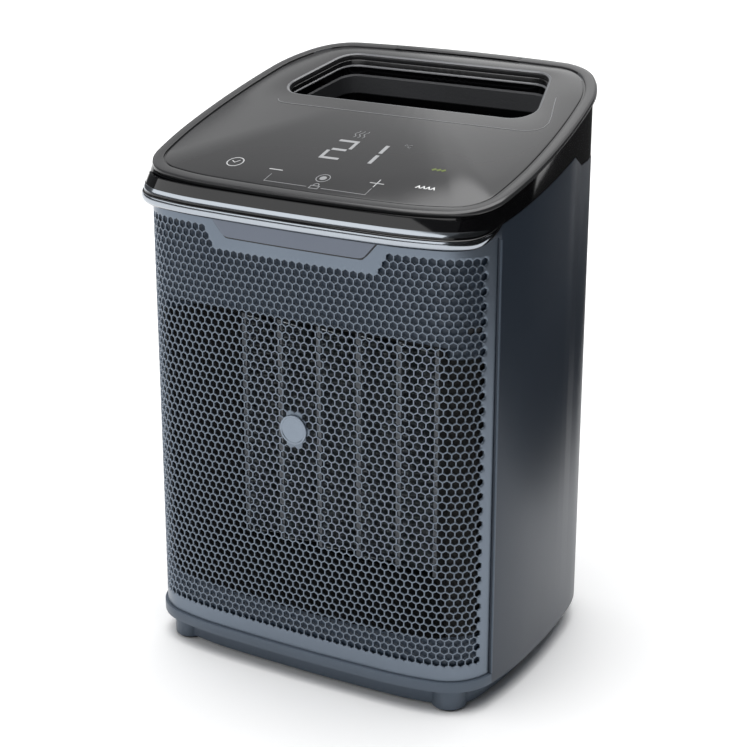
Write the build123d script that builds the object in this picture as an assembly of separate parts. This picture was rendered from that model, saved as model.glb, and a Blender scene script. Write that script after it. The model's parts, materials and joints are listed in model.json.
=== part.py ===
from build123d import *
import math
import os

# Compact ceramic fan heater. Millimetres, +Z up, the front faces -Y.
# The origin is on the floor, under the middle of the whole object.
# "back" is a distance behind the middle of the front grille, "rise" a height above the floor.

# ---- driving dimensions: plan of the body ------------------------------------------------------
body_width = 190.4          # across the widest part of the side walls
body_depth = 165.0          # front of the rim to the middle of the rear
grille_inset = 1.4          # the grille lies this far inside the shell's outline
bow_turn = 2.5              # heading, in degrees, where the shallow front bow ends
shoulder_radius = 143.4
shoulder_turn = 13.0
front_corner_radius = 25.9
side_turn = 82.0            # heading where the front corner meets the side wall
side_front_radius = 223.0
rear_start_turn = 99.1
rear_shoulder_radius = 70.0
rear_shoulder_turn = 125.0
rear_corner_radius = 36.0
rear_bow_turn = 176.0

# ---- driving dimensions: heights and slopes ----------------------------------------------------
plinth_bottom = 2.0
shell_bottom = 12.4
rim_height = 5.2
panel_gap = 0.6
grille_top_rise = 226.8     # top edge of the grille in the middle of the front
grille_top_slope = 0.15
shell_top_rise = 230.9      # top edge of the side walls, at the front
shell_top_slope = 0.20
panel_rise = 240.5          # top face of the touch panel, at the front
panel_slope = 0.27
skirt_rise = 245.0          # lower edge of the black housing round the back
skirt_front_back = 100.0    # where that edge starts to drop
skirt_rear_back = 110.0     # where it has dropped
split_back = 135.0          # joint between side shell and rear cover
grille_end_back = 23.7      # where the grille ends round the front corners

# ---- driving dimensions: walls, sheets and clearances ------------------------------------------
wall = 2.4
sheet = 1.0
fit = 0.2
seam = 0.4
running = 0.05
plinth_inset = 8.2
plinth_wall = 2.2

# ---- driving dimensions: front -----------------------------------------------------------------
hole_pitch = 12.0           # holes of the plain perforation
hole_web = 1.6
field_side_margin = 12.0
field_bottom_margin = 6.0
field_top_margin = 16.0
name_top_half = 43.2
name_foot_half = 35.0
name_foot_rise = 218.5
name_proud = 0.8
badge_radius = 7.2
badge_rise = 131.0
badge_proud = 1.2
badge_stem_radius = 1.6
lip_foot_rise = 224.6
lip_reach = 5.5
lip_tip_rise = 228.6
lip_neck_rise = 240.0
lip_neck_reach = 0.6
lip_end_back = 23.0
lip_side_reach = 1.8

# ---- driving dimensions: top -------------------------------------------------------------------
panel_thickness = 2.6
panel_bevel = 1.4
panel_front_back = 3.4      # front edge of the touch panel, behind the grille
panel_length = 160.6        # along its slope
panel_width = 191.6
panel_corner_radius = 24.0
panel_rear_shoulder_radius = 62.0
panel_rear_corner_radius = 30.0
deck = 2.4
housing_draft = 30.0        # slope of the housing's edge below the touch panel
housing_reach = 70.0
opening_front_back = 98.0
opening_rear_back = 145.0
opening_front_half = 71.0
opening_rear_half = 60.0
opening_corner = 10.0
pocket_floor_rise = 226.0
pocket_wall = 2.0
grip_half = 35.5
grip_depth = 9.0

# ---- driving dimensions: heater ----------------------------------------------------------------
axis_rise = 110.3           # height of the fan axis and of the element's middle
element_back = 38.5
element_width = 111.0
element_height = 117.0
element_depth = 14.0
element_columns = 5
fin_pitch = 5.85
fin_thickness = 0.5
bar_width = 2.6
frame_edge = 5.0
frame_depth = 18.0
terminal_width = 6.3
terminal_thickness = 0.8
terminal_reach = 9.0
duct_mouth_half = 78.0
duct_mouth_low = 40.6
duct_mouth_high = 180.0
duct_wall = 1.6
outlet_gap = 2.0            # from the grille's face to the outlet plate

# ---- driving dimensions: fan and motor ---------------------------------------------------------
fan_radius = 50.0
fan_tip_gap = 2.0
ring_wall = 2.5
fan_duct_length = 36.0
blade_count = 7
blade_chord = 26.0
blade_thickness = 1.8
blade_pitch = 38.0
hub_radius = 17.0
hub_length = 20.0
motor_radius = 19.0
motor_length = 28.0
motor_wall = 1.5
shaft_radius = 1.6
bush_radius = 5.0
bush_length = 4.0
rotor_radius = 11.5
rotor_length = 15.0
bracket_thickness = 3.0
bracket_arms = 4

# ---- driving dimensions: inside shelf and boards -----------------------------------------------
shelf_rise = 188.0
shelf_thickness = 2.5
shelf_front_back = 12.0
shelf_rear_back = 92.0
board_thickness = 1.6
power_board_length = 116.0
power_board_width = 56.0
power_board_back = 52.0
standoff = 6.0
touch_board_length = 150.0
touch_board_width = 46.0
touch_board_back = 36.0
touch_drop = 5.0
digits_length = 46.0
digits_width = 24.0
digits_x = 7.0
digits_back = 48.0

# ---- driving dimensions: rear ------------------------------------------------------------------
window_half = 44.0
window_low = 56.0
window_high = 206.0
filter_thickness = 5.0
filter_rim = 6.0
slat_height = 3.0
slat_pitch = 10.0
rocker_x = -24.0
rocker_rise = 34.0
rocker_length = 19.0
rocker_width = 12.0
rocker_travel = 16.0
gland_x = 24.0
gland_rise = 32.0
gland_radius = 6.5
gland_bore = 3.6
rear_frame_back = 126.0

# ---- driving dimensions: base ------------------------------------------------------------------
front_foot_x = 74.5
rear_foot_x = 68.0
foot_front_back = 17.0
foot_rear_back = 124.0
foot_radius = 7.5
foot_block_radius = 8.5
foot_pad_rise = 3.0
tip_x = 30.0
tip_back = 108.0
tip_pin_radius = 3.0
tip_travel = 4.0
tip_body_height = 20.0
screw_radius = 1.5
screw_head_radius = 2.9
screw_head_height = 2.0
screw_inset = 20.0         # base screws, inwards from the feet

# ---- worked-out values -------------------------------------------------------------------------
grille_back = lip_reach                       # the lip is the foremost piece
overall_depth = lip_reach + body_depth - grille_inset
front_y = -overall_depth / 2 + grille_back    # y of the middle of the grille
shell_front_y = front_y - grille_inset
plinth_grow = -plinth_inset
shell_inner_grow = -wall
big = 400.0
base_top = shell_bottom + rim_height - 2.0 - fit
element_front_y = front_y + element_back
duct_outer_radius = fan_radius + fan_tip_gap + ring_wall
frame_half_width = element_width / 2 + frame_edge
frame_half_height = element_height / 2 + frame_edge
fan_duct_y = element_front_y + frame_depth
motor_y = fan_duct_y + fan_duct_length + bracket_thickness
hub_y = motor_y - bracket_thickness - hub_length - 4.0
panel_angle = math.degrees(math.atan(panel_slope))
panel_sheet_y = front_y + panel_front_back


# ---- plan outlines -----------------------------------------------------------------------------
def heading_step(radius, start, end):
    """Travel in x and y of an arc that turns from one heading to another, in degrees."""
    a = math.radians(start)
    b = math.radians(end)
    return radius * (math.sin(b) - math.sin(a)), radius * (math.cos(a) - math.cos(b))


def chain_radii(width, depth, corner, rear_shoulder, rear_corner):
    """Radii and end headings of the arcs from the front middle to the rear middle."""
    known = [(shoulder_radius, bow_turn, shoulder_turn), (corner, shoulder_turn, side_turn),
             (side_front_radius, side_turn, 90.0)]
    across = sum(heading_step(*arc)[0] for arc in known)
    bow = (width / 2 - across) / math.sin(math.radians(bow_turn))
    ahead = heading_step(bow, 0.0, bow_turn)[1] + sum(heading_step(*arc)[1] for arc in known)
    rear = [(rear_shoulder, rear_start_turn, rear_shoulder_turn),
            (rear_corner, rear_shoulder_turn, rear_bow_turn)]
    rear_across = -sum(heading_step(*arc)[0] for arc in rear)
    rear_ahead = sum(heading_step(*arc)[1] for arc in rear)
    bow_factor = math.tan(math.radians(180.0 - rear_bow_turn) / 2)
    unit_across, unit_ahead = heading_step(1.0, 90.0, rear_start_turn)
    left = depth - ahead - rear_ahead - bow_factor * (width / 2 - rear_across)
    side_rear = left / (unit_ahead + bow_factor * unit_across)
    rest = width / 2 + side_rear * unit_across - rear_across
    rear_bow = rest / math.sin(math.radians(rear_bow_turn))
    return [(bow, 0.0, bow_turn)] + known + [(side_rear, 90.0, rear_start_turn)] + rear + \
        [(rear_bow, rear_bow_turn, 180.0)]


def chain_face(arcs, start_y):
    """Flat face bounded by a chain of tangent arcs and its mirror image."""
    x, y, edges = 0.0, start_y, []
    for radius, start, end in arcs:
        mid_x, mid_y = heading_step(radius, start, (start + end) / 2)
        end_x, end_y = heading_step(radius, start, end)
        edges.append([(x, y), (x + mid_x, y + mid_y), (x + end_x, y + end_y)])
        x, y = x + end_x, y + end_y
    edges[-1][2] = (0.0, y)
    mirrored = [[(-px, py) for px, py in reversed(points)] for points in reversed(edges)]
    return make_face(Wire([ThreePointArc(*points) for points in edges + mirrored]))


def body_outline(grow=0.0):
    """Plan of the body, grown outwards by the given distance."""
    arcs = chain_radii(body_width, body_depth, front_corner_radius,
                       rear_shoulder_radius, rear_corner_radius)
    return chain_face([(r + grow, a, b) for r, a, b in arcs], shell_front_y - grow)


def panel_outline(grow=0.0, length=panel_length):
    """Outline of the touch panel in its own plane, with y = 0 at its front edge."""
    arcs = chain_radii(panel_width, length, panel_corner_radius,
                       panel_rear_shoulder_radius, panel_rear_corner_radius)
    return chain_face([(r + grow, a, b) for r, a, b in arcs], -grow)


def body_prism(grow, low, high):
    """Upright prism of the body's plan between two heights."""
    return extrude(Pos(0, 0, low) * body_outline(grow), high - low)


def side_profile(points):
    """Solid right across the object whose side view has the given (back, rise) points."""
    face = make_face(Polyline([(0, front_y + back, rise) for back, rise in points], close=True))
    return extrude(face, big, dir=(1, 0, 0), both=True)


def slab(back_low, back_high, rise_low, rise_high, half=big, x=0.0):
    """Box given by its distances behind the grille and its heights."""
    size = (2 * half, back_high - back_low, rise_high - rise_low)
    centre = (x, front_y + (back_low + back_high) / 2, (rise_low + rise_high) / 2)
    return Pos(*centre) * Box(*size)


def lengthwise(radius, y_low, length, x=0.0, rise=axis_rise):
    """Cylinder along Y."""
    return Pos(x, y_low + length / 2, rise) * Rot(90, 0, 0) * Cylinder(radius, length)


def upright(radius, low, high, x, back):
    """Cylinder along Z."""
    return Pos(x, front_y + back, (low + high) / 2) * Cylinder(radius, high - low)


def shell_top(back):
    return shell_top_rise + shell_top_slope * back


def grille_top(back):
    return grille_top_rise + grille_top_slope * back


def panel_top(back):
    return panel_rise + panel_slope * back


def under_shell_top(drop=0.0):
    """Everything below the top edge of the walls, which drops to the skirt line at the rear."""
    low = -10.0
    return side_profile([(-big, low), (big, low), (big, skirt_rise - drop),
                         (skirt_rear_back, skirt_rise - drop),
                         (skirt_front_back, shell_top(skirt_front_back) - drop),
                         (-50.0, shell_top(-50.0) - drop), (-big, shell_top(-50.0) - drop)])


def under_grille_top(extra=0.0):
    low = -10.0
    return side_profile([(-50.0, low), (60.0, low), (60.0, grille_top(60.0) + extra),
                         (-50.0, grille_top(-50.0) + extra)])


def on_panel(drop=0.0):
    """Frame of the touch panel's plane, moved down along its normal."""
    return Pos(0, panel_sheet_y, panel_top(panel_front_back)) * Rot(panel_angle, 0, 0) * \
        Pos(0, 0, -drop)


def along_panel(back):
    """Distance along the panel's slope of a place that far behind the grille."""
    return (back - panel_front_back) / math.cos(math.radians(panel_angle))


# ---- casing ------------------------------------------------------------------------------------
def screw(x, back, low, length):
    """Pan-head screw driven upwards, with its head at the bottom."""
    head = upright(screw_head_radius, low, low + screw_head_height, x, back)
    return head + upright(screw_radius, low, low + length, x, back)


def foot_places():
    places = ((front_foot_x, foot_front_back), (rear_foot_x, foot_rear_back))
    return [(side * x, back) for side in (-1, 1) for x, back in places]


def base_screw_places():
    places = ((front_foot_x - screw_inset, foot_front_back + 8.0),
              (rear_foot_x - screw_inset, foot_rear_back - 10.0))
    return [(side * x, back) for side in (-1, 1) for x, back in places]


def body_shell():
    """Side walls, rim below the grille and rail above it, in one moulding."""
    shell = body_prism(0, shell_bottom, big) - body_prism(shell_inner_grow, shell_bottom, big)
    shell &= under_shell_top()
    shell -= slab(split_back, big, -10.0, big)
    rim_top = shell_bottom + rim_height
    window = slab(-50.0, grille_end_back + panel_gap, rim_top, big) & under_grille_top(panel_gap)
    shell -= window
    inner = body_prism(shell_inner_grow, shell_bottom, big)
    ledge = inner & slab(-50.0, grille_end_back, rim_top - 2.0, rim_top)
    ledge -= body_prism(-grille_inset - sheet - 3.0, 0, big)
    return shell + ledge


def rear_cover():
    """Rear of the body with the intake window and its slats."""
    cover = body_prism(0, shell_bottom, big) - body_prism(shell_inner_grow, shell_bottom, big)
    cover &= under_shell_top()
    cover &= slab(split_back + fit, big, -10.0, big)
    lap = body_prism(shell_inner_grow - fit, shell_bottom, skirt_rise - 6.0)
    lap -= body_prism(shell_inner_grow - fit - 1.6, shell_bottom, skirt_rise - 6.0)
    lap &= slab(split_back - 6.0, split_back + 4.0, -10.0, big)
    bridge = body_prism(-0.5, shell_bottom, skirt_rise - 6.0)
    bridge -= body_prism(shell_inner_grow - fit - 1.6, shell_bottom, skirt_rise - 6.0)
    bridge &= slab(split_back + 0.5, split_back + 4.0, -10.0, big)
    cover += lap + bridge
    rear_face = body_depth - grille_inset
    well = slab(rear_face - 14.0, big, window_low, window_high, window_half)
    tray = slab(rear_face - 13.0, rear_face - 1.2, window_low - 2.0, window_high + 2.0, window_half + 2.0)
    cover += tray & body_prism(-0.5, 0, big)
    cover -= well
    floor = slab(rear_face - 13.0, rear_face - 11.0, window_low - 2.0, window_high + 2.0, window_half + 2.0)
    step = window_low + slat_pitch
    while step < window_high - slat_height:
        floor -= slab(rear_face - 14.0, rear_face, step - slat_pitch + slat_height, step, window_half - 4.0)
        step += slat_pitch
    cover += floor
    rocker_cut = slab(rear_face - 20.0, big, rocker_rise - rocker_width / 2 - 1.0,
                      rocker_rise + rocker_width / 2 + 1.0, rocker_length / 2 + 1.0, rocker_x)
    cover -= rocker_cut
    cover -= lengthwise(gland_radius, front_y + rear_face - 20.0, 30.0, gland_x, gland_rise)
    for x, rise in rear_screw_places():
        cover -= lengthwise(screw_radius + fit, front_y + rear_face - 20.0, 30.0, x, rise)
        cover -= lengthwise(screw_head_radius + fit, front_y + rear_face - 2.0, 10.0, x, rise)
        boss = lengthwise(screw_head_radius + 2.0, front_y + rear_face - 8.0, 6.8, x, rise)
        boss -= lengthwise(screw_radius + fit, front_y + rear_face - 20.0, 30.0, x, rise)
        boss -= lengthwise(screw_head_radius + fit, front_y + rear_face - 2.0, 10.0, x, rise)
        cover += boss & body_prism(-0.5, 0, big)
    return cover


def rear_screw_places():
    return [(side * 30.0, rise) for side in (-1, 1) for rise in (window_high + 11.0, window_low - 10.0)]


def rear_frame():
    """Upright frame inside the shell, with the posts that the rear cover is screwed to."""
    frame = body_prism(shell_inner_grow - fit - 1.8, base_top, pocket_floor_rise - pocket_wall - 2.0)
    frame &= slab(rear_frame_back, rear_frame_back + 3.0, 0, big)
    frame -= slab(rear_frame_back - 1.0, rear_frame_back + 4.0, window_low, window_high, window_half + 12.0)
    low = front_y + rear_frame_back + 3.0
    length = body_depth - grille_inset - 8.0 - rear_frame_back - 3.0 - seam
    for x, rise in rear_screw_places():
        frame += lengthwise(4.0, low, length, x, rise)
        frame -= lengthwise(screw_radius + running, low, length + 1.0, x, rise)
    return frame


def plinth_base():
    """Tray that closes the bottom, with a recessed skirt and four foot blocks."""
    top = base_top
    skirt = body_prism(plinth_grow, plinth_bottom, top - 1.0)
    skirt -= body_prism(plinth_grow - plinth_wall, plinth_bottom, top - 1.0)
    plate = body_prism(shell_inner_grow - fit - 1.8, top - 2.4, top)
    base = skirt + plate
    for x, back in foot_places():
        base += upright(foot_block_radius, 1.2, top - 1.0, x, back)
        base -= upright(foot_radius + running, 0, foot_pad_rise, x, back)
    for x, back in base_screw_places():
        base += upright(screw_head_radius + 2.5, plinth_bottom + 4.0, top + 6.0, x, back)
        base -= upright(screw_radius + running, 0, top + 7.0, x, back)
        base -= upright(screw_head_radius + fit, 0, plinth_bottom + 6.0, x, back)
    base -= upright(tip_pin_radius + seam, 0, top + 1.0, tip_x, tip_back)
    return base


def rubber_feet():
    return [upright(foot_radius, 0, foot_pad_rise, x, back) for x, back in foot_places()]


def base_screws():
    return [screw(x, back, plinth_bottom + 6.0 - screw_head_height, 14.0) for x, back in base_screw_places()]


def rear_screws():
    rear_face = body_depth - grille_inset
    screws = []
    for x, rise in rear_screw_places():
        head = lengthwise(screw_head_radius, front_y + rear_face - 2.0 - screw_head_height + 2.0, 1.8, x, rise)
        head &= body_prism(0, 0, big)
        screws.append(head + lengthwise(screw_radius, front_y + rear_face - 16.0, 16.5, x, rise))
    return screws


# ---- front -------------------------------------------------------------------------------------
def front_sheet(proud, thickness, low, extra=0.0):
    """Curved sheet on the front, whose face stands proud of the grille's face."""
    outer = -grille_inset + proud
    sheet_solid = body_prism(outer, low, big) - body_prism(outer - thickness, low, big)
    return sheet_solid & slab(-50.0, grille_end_back, low, big) & under_grille_top(extra)


def grille_low():
    return shell_bottom + rim_height + panel_gap


def hexagon_prism(x, rise, across):
    """Hexagonal hole through the front, standing on a corner."""
    flat = RegularPolygon(across / math.sqrt(3), 6, rotation=30)
    return Pos(x, front_y - 15.0, rise) * Rot(-90, 0, 0) * extrude(flat, 45.0)


def hole_places():
    """Rows of staggered holes over the field of the grille."""
    half = body_width / 2 - field_side_margin
    low = grille_low() + field_bottom_margin + hole_pitch / 2
    high = grille_top_rise - field_top_margin - hole_pitch / 2
    row_step = hole_pitch * math.sqrt(3) / 2
    rows = int((high - low) / row_step)
    columns = int(half / hole_pitch)
    places = []
    for row in range(rows + 1):
        shift = hole_pitch / 2 if row % 2 else 0.0
        for column in range(-columns, columns + (0 if row % 2 else 1)):
            place = (column * hole_pitch + shift, low + row * row_step)
            if math.hypot(place[0], place[1] - badge_rise) > badge_radius + hole_pitch / 2:
                places.append(place)
    return places


def front_grille():
    """Formed sheet with its perforation and the hole of the badge."""
    panel = front_sheet(0.0, sheet, grille_low())
    holes = [hexagon_prism(x, rise, hole_pitch - hole_web) for x, rise in hole_places()]
    panel -= holes
    return panel - lengthwise(badge_stem_radius + running, front_y - 10.0, 20.0, rise=badge_rise)


def name_plate():
    """Blank plate, wider at the top, that lies on the top of the grille."""
    skin = front_sheet(name_proud, name_proud - 0.05, grille_low())
    top = lip_foot_rise - 0.5
    points = [(-name_foot_half, name_foot_rise), (name_foot_half, name_foot_rise),
              (name_top_half, top), (-name_top_half, top)]
    shape = make_face(Polyline([(x, front_y - 20.0, z) for x, z in points], close=True))
    return skin & extrude(shape, 30.0, dir=(0, 1, 0))


def round_badge():
    disc = lengthwise(badge_radius, front_y - badge_proud, badge_proud - 0.08, rise=badge_rise)
    return disc + lengthwise(badge_stem_radius, front_y - 0.5, 2.0, rise=badge_rise)


def lip_outline(reach):
    """Plan of the lip, which reaches forward more than it does sideways."""
    width = body_width + 2 * lip_side_reach * reach / lip_reach
    arcs = chain_radii(width, body_depth + reach - grille_inset, front_corner_radius,
                       rear_shoulder_radius, rear_corner_radius)
    return chain_face(arcs, front_y - reach)


def lip_layer(low, high, reach_low, reach_high):
    """Slice of the lip between two heights, growing from one reach to the other."""
    return loft([Pos(0, 0, low) * lip_outline(reach_low), Pos(0, 0, high) * lip_outline(reach_high)],
                ruled=True)


def front_lip():
    """Flared lip that shades the top edge of the grille."""
    lip = lip_layer(lip_foot_rise, lip_tip_rise, lip_reach - 2.5, lip_reach)
    lip += lip_layer(lip_tip_rise, lip_neck_rise, lip_reach, lip_neck_reach)
    lip &= slab(-50.0, lip_end_back, 0, big)
    lip -= body_prism(fit, 0, big) & under_shell_top(-seam)
    return lip - housing_block(0.0, 0.0)


# ---- top ---------------------------------------------------------------------------------------
def opening_face(grow=0.0):
    """Plan of the handle opening."""
    front = front_y + opening_front_back - grow
    rear = front_y + opening_rear_back + grow
    points = [(-opening_front_half - grow, front), (opening_front_half + grow, front),
              (opening_rear_half + grow, rear), (-opening_rear_half - grow, rear)]
    face = make_face(Polyline(points, close=True))
    return fillet(face.vertices(), opening_corner + grow)


def opening_prism(grow, low, high=big):
    return extrude(Pos(0, 0, low) * opening_face(grow), high - low)


def grip_region(grow=0.0):
    """Part of the rear rim taken up by the grip insert."""
    rear_edge = panel_front_back + panel_length * math.cos(math.radians(panel_angle))
    return slab(rear_edge - grip_depth - grow, big, 200.0, big, grip_half + grow)


def touch_panel():
    """Smoked panel with a bevelled edge and the handle opening."""
    plate = on_panel(panel_thickness) * extrude(panel_outline(-panel_bevel), panel_thickness)
    skirt_plate = on_panel(panel_thickness) * extrude(panel_outline(), panel_thickness - panel_bevel)
    bevel = loft([on_panel(panel_bevel) * panel_outline(), on_panel() * panel_outline(-panel_bevel)],
                 ruled=True)
    panel = plate + skirt_plate + bevel
    panel -= opening_prism(0.0, 200.0)
    return panel - grip_region(fit)


def grip_insert():
    """Strip let into the rear rim, where the hand closes over the bar."""
    plate = on_panel(panel_thickness) * extrude(panel_outline(), panel_thickness - panel_bevel)
    bevel = loft([on_panel(panel_bevel) * panel_outline(), on_panel() * panel_outline(-panel_bevel)],
                 ruled=True)
    return (plate + bevel) & grip_region()


def housing_block(grow, top_drop):
    """Body's plan, drawn in towards the touch panel's outline near the top."""
    spread = housing_reach * math.tan(math.radians(housing_draft))
    draft = loft([on_panel(top_drop + housing_reach) * panel_outline(grow + spread),
                  on_panel(top_drop) * panel_outline(grow)], ruled=True)
    return draft & body_prism(grow, pocket_floor_rise, big)


def top_housing():
    """Glossy housing: band, deck under the touch panel, and the deep rear skirt."""
    housing = housing_block(0.0, panel_thickness) - housing_block(-wall, panel_thickness + deck)
    housing -= under_shell_top(-seam)
    housing -= opening_prism(seam + pocket_wall, 200.0)
    display = slab(digits_back - digits_width / 2 - 1.0, digits_back + digits_width / 2 + 1.0,
                   200.0, big, digits_length / 2 + 1.0, digits_x)
    return housing - display


def handle_pocket():
    """Finger pocket hung in the opening, closed at the bottom."""
    pocket = opening_prism(pocket_wall, pocket_floor_rise - pocket_wall)
    pocket -= opening_prism(0.0, pocket_floor_rise)
    cut = on_panel(panel_thickness + fit) * Pos(0, 0, big / 2) * Box(3 * big, 3 * big, big)
    return pocket - cut


def touch_board():
    """Board with the touch pads, hung under the deck."""
    middle = along_panel(touch_board_back)
    drop = panel_thickness + deck + touch_drop
    return on_panel(drop) * Pos(0, middle, 0) * Box(touch_board_length, touch_board_width, board_thickness)


def touch_places():
    """Places of the touch keys: across, and behind the grille."""
    return [(-46.7, 25.5), (-23.0, 23.7), (3.7, 22.1), (30.6, 23.5), (54.4, 25.6)]


def touch_springs():
    """Coiled contacts, as closed cylinders, between the board and the deck."""
    low = panel_thickness + deck + touch_drop - board_thickness / 2
    springs = []
    for x, back in touch_places():
        frame = on_panel(low) * Pos(x, along_panel(back), 0)
        springs.append(frame * Pos(0, 0, (touch_drop - board_thickness / 2) / 2 - 0.05) *
                       Cylinder(4.0, touch_drop - board_thickness / 2 - 0.2))
    return springs


def digit_display():
    """Two-digit lamp block that stands on the touch board and reaches the panel."""
    low = panel_thickness + deck + touch_drop - board_thickness / 2
    height = low - panel_thickness - fit
    return on_panel(low) * Pos(digits_x, along_panel(digits_back), height / 2) * \
        Box(digits_length, digits_width, height)


# ---- air path ----------------------------------------------------------------------------------
def rectangle_at(back, half, low, high):
    """Upright rectangle facing along Y."""
    points = [(-half, low), (half, low), (half, high), (-half, high)]
    return make_face(Polyline([(x, front_y + back, z) for x, z in points], close=True))


def funnel(grow):
    """Tapering passage from the outlet plate to the element."""
    return loft([rectangle_at(-4.0, duct_mouth_half + 8.0 + grow, duct_mouth_low - 6.0 - grow,
                              duct_mouth_high + 6.0 + grow),
                 rectangle_at(element_back - seam, element_width / 2 + grow,
                              axis_rise - element_height / 2 - grow,
                              axis_rise + element_height / 2 + grow)], ruled=True)


def outlet_plate(grow=0.0):
    """Curved plate close behind the grille."""
    plate = front_sheet(-outlet_gap + grow, duct_wall + 2 * grow, grille_low() + 2.0, -2.0)
    return plate & slab(-50.0, grille_end_back - 3.0 + grow, 0, big)


def outlet_duct():
    """Plate behind the grille, with the duct that leads forward from the element."""
    duct = funnel(duct_wall) - funnel(0.0)
    duct &= body_prism(-grille_inset - outlet_gap, 0, big)
    return outlet_plate() - funnel(0.0) + duct


def heater_frame():
    """Frame that holds the element against the duct."""
    frame = slab(element_back, element_back + frame_depth, axis_rise - frame_half_height,
                 axis_rise + frame_half_height, frame_half_width)
    frame -= slab(element_back - 1.0, big, axis_rise - element_height / 2,
                  axis_rise + element_height / 2, element_width / 2)
    for x in terminal_places():
        frame -= terminal(x, running)
    return frame


def column_centres():
    width = element_width / element_columns
    return [(index - (element_columns - 1) / 2) * width for index in range(element_columns)]


def ceramic_bars():
    """Upright ceramic bars between the fin columns and at both ends."""
    width = element_width / element_columns
    bars = []
    for index in range(element_columns + 1):
        x = (index - element_columns / 2) * width
        x = max(-element_width / 2 + bar_width / 2 + fit, min(element_width / 2 - bar_width / 2 - fit, x))
        bars.append(slab(element_back + 1.0, element_back + 1.0 + element_depth,
                         axis_rise - element_height / 2 + fit, axis_rise + element_height / 2 - fit,
                         bar_width / 2, x))
    return bars


def heater_fins():
    """Aluminium fins across each column."""
    half = (element_width / element_columns - bar_width) / 2 - fit
    count = int((element_height - 2.0) / fin_pitch)
    fins = []
    for x in column_centres():
        edge = abs(x) + half + bar_width + 2 * fit > element_width / 2
        centre = x - math.copysign(bar_width / 4, x) if edge else x
        reach = half - bar_width / 4 if edge else half
        for row in range(count + 1):
            rise = axis_rise + (row - count / 2) * fin_pitch
            fins.append(slab(element_back + 2.0, element_back + element_depth, rise - fin_thickness / 2,
                             rise + fin_thickness / 2, reach, centre))
    return fins


def terminal_places():
    return [side * element_width / element_columns * 1.5 for side in (-1, 1)]


def terminal(x, grow=0.0):
    """Blade terminal that stands out below the element, through its frame."""
    rise = axis_rise - element_height / 2
    middle = element_back + 1.0 + element_depth / 2
    return slab(middle - terminal_thickness / 2 - grow, middle + terminal_thickness / 2 + grow,
                rise - frame_edge - terminal_reach, rise + fit, terminal_width / 2 + grow, x)


def terminals():
    return [terminal(x) for x in terminal_places()]


def thermal_cutout():
    """Disc thermostat clipped on top of the frame."""
    rise = axis_rise + frame_half_height
    return upright(8.0, rise, rise + 5.0, 20.0, element_back + 9.0) + \
        upright(3.0, rise + 5.0, rise + 9.0, 20.0, element_back + 9.0)


def fan_duct():
    """Flange on the element's frame, standing on the base, and the round duct of the fan."""
    flange = slab(element_back + frame_depth, element_back + frame_depth + ring_wall,
                  base_top, axis_rise + frame_half_height, frame_half_width)
    ring = lengthwise(duct_outer_radius, fan_duct_y, fan_duct_length)
    bore = lengthwise(duct_outer_radius - ring_wall, fan_duct_y - 5.0, fan_duct_length + 10.0)
    return flange + ring - bore


def fan_blade(angle):
    """One pitched blade, from inside the hub to the tip."""
    length = fan_radius + 4.0 - hub_radius
    middle = hub_radius - 3.0 + length / 2
    blade = Pos(middle, 0, 0) * Rot(blade_pitch, 0, 0) * Box(length, blade_chord, blade_thickness)
    return Rot(0, angle, 0) * blade


def impeller():
    """Hub with its blades, bored for the shaft."""
    hub = Rot(90, 0, 0) * Cylinder(hub_radius, hub_length)
    blades = fan_blade(0)
    for index in range(1, blade_count):
        blades += fan_blade(index * 360.0 / blade_count)
    blades &= Rot(90, 0, 0) * Cylinder(fan_radius, hub_length * 2)
    wheel = hub + blades - Rot(90, 0, 0) * Cylinder(shaft_radius, hub_length * 2)
    return Pos(0, hub_y + hub_length / 2, axis_rise) * wheel


def motor_can():
    """Closed can with a seat for a bush at each end."""
    can = lengthwise(motor_radius, motor_y, motor_length)
    can -= lengthwise(motor_radius - motor_wall, motor_y + bush_length, motor_length - 2 * bush_length)
    return can - lengthwise(bush_radius, motor_y - 1.0, motor_length + 2.0)


def motor_bushes():
    bushes = []
    for y in (motor_y, motor_y + motor_length - bush_length):
        bushes.append(lengthwise(bush_radius, y, bush_length) -
                      lengthwise(shaft_radius + running, y - 1.0, bush_length + 2.0))
    return bushes


def motor_shaft():
    return lengthwise(shaft_radius, hub_y + 2.0, motor_y + motor_length + 3.0 - hub_y - 2.0)


def motor_rotor():
    y = motor_y + (motor_length - rotor_length) / 2
    return lengthwise(rotor_radius, y, rotor_length) - lengthwise(shaft_radius, y - 1.0, rotor_length + 2.0)


def motor_coils():
    """Field coils either side of the rotor, inside the can."""
    y = motor_y + (motor_length - rotor_length) / 2
    ring = lengthwise(motor_radius - motor_wall, y, rotor_length) - \
        lengthwise(rotor_radius + 1.2, y - 1.0, rotor_length + 2.0)
    gap = Pos(0, y + rotor_length / 2, axis_rise) * Box(8.0, rotor_length + 2.0, 2 * motor_radius)
    return ring - gap


def motor_bracket():
    """Ring on the fan duct with arms to the motor's seat."""
    y = motor_y - bracket_thickness
    ring = lengthwise(duct_outer_radius, y, bracket_thickness) - \
        lengthwise(duct_outer_radius - ring_wall - 1.0, y - 1.0, bracket_thickness + 2.0)
    seat = lengthwise(motor_radius + 3.0, y, bracket_thickness)
    bracket = ring + seat
    for index in range(bracket_arms):
        arm = Pos((duct_outer_radius + motor_radius) / 2, 0, 0) * \
            Box(duct_outer_radius - motor_radius - 1.0, bracket_thickness, 7.0)
        bracket += Pos(0, y + bracket_thickness / 2, axis_rise) * Rot(0, 45 + index * 360 / bracket_arms, 0) * arm
    bracket -= lengthwise(bush_radius + 1.5, y - 1.0, bracket_thickness + 2.0)
    for x, z in motor_screw_places():
        bracket -= lengthwise(screw_radius + running, y - 1.0, bracket_thickness + 2.0, x, z)
    return bracket


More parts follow.
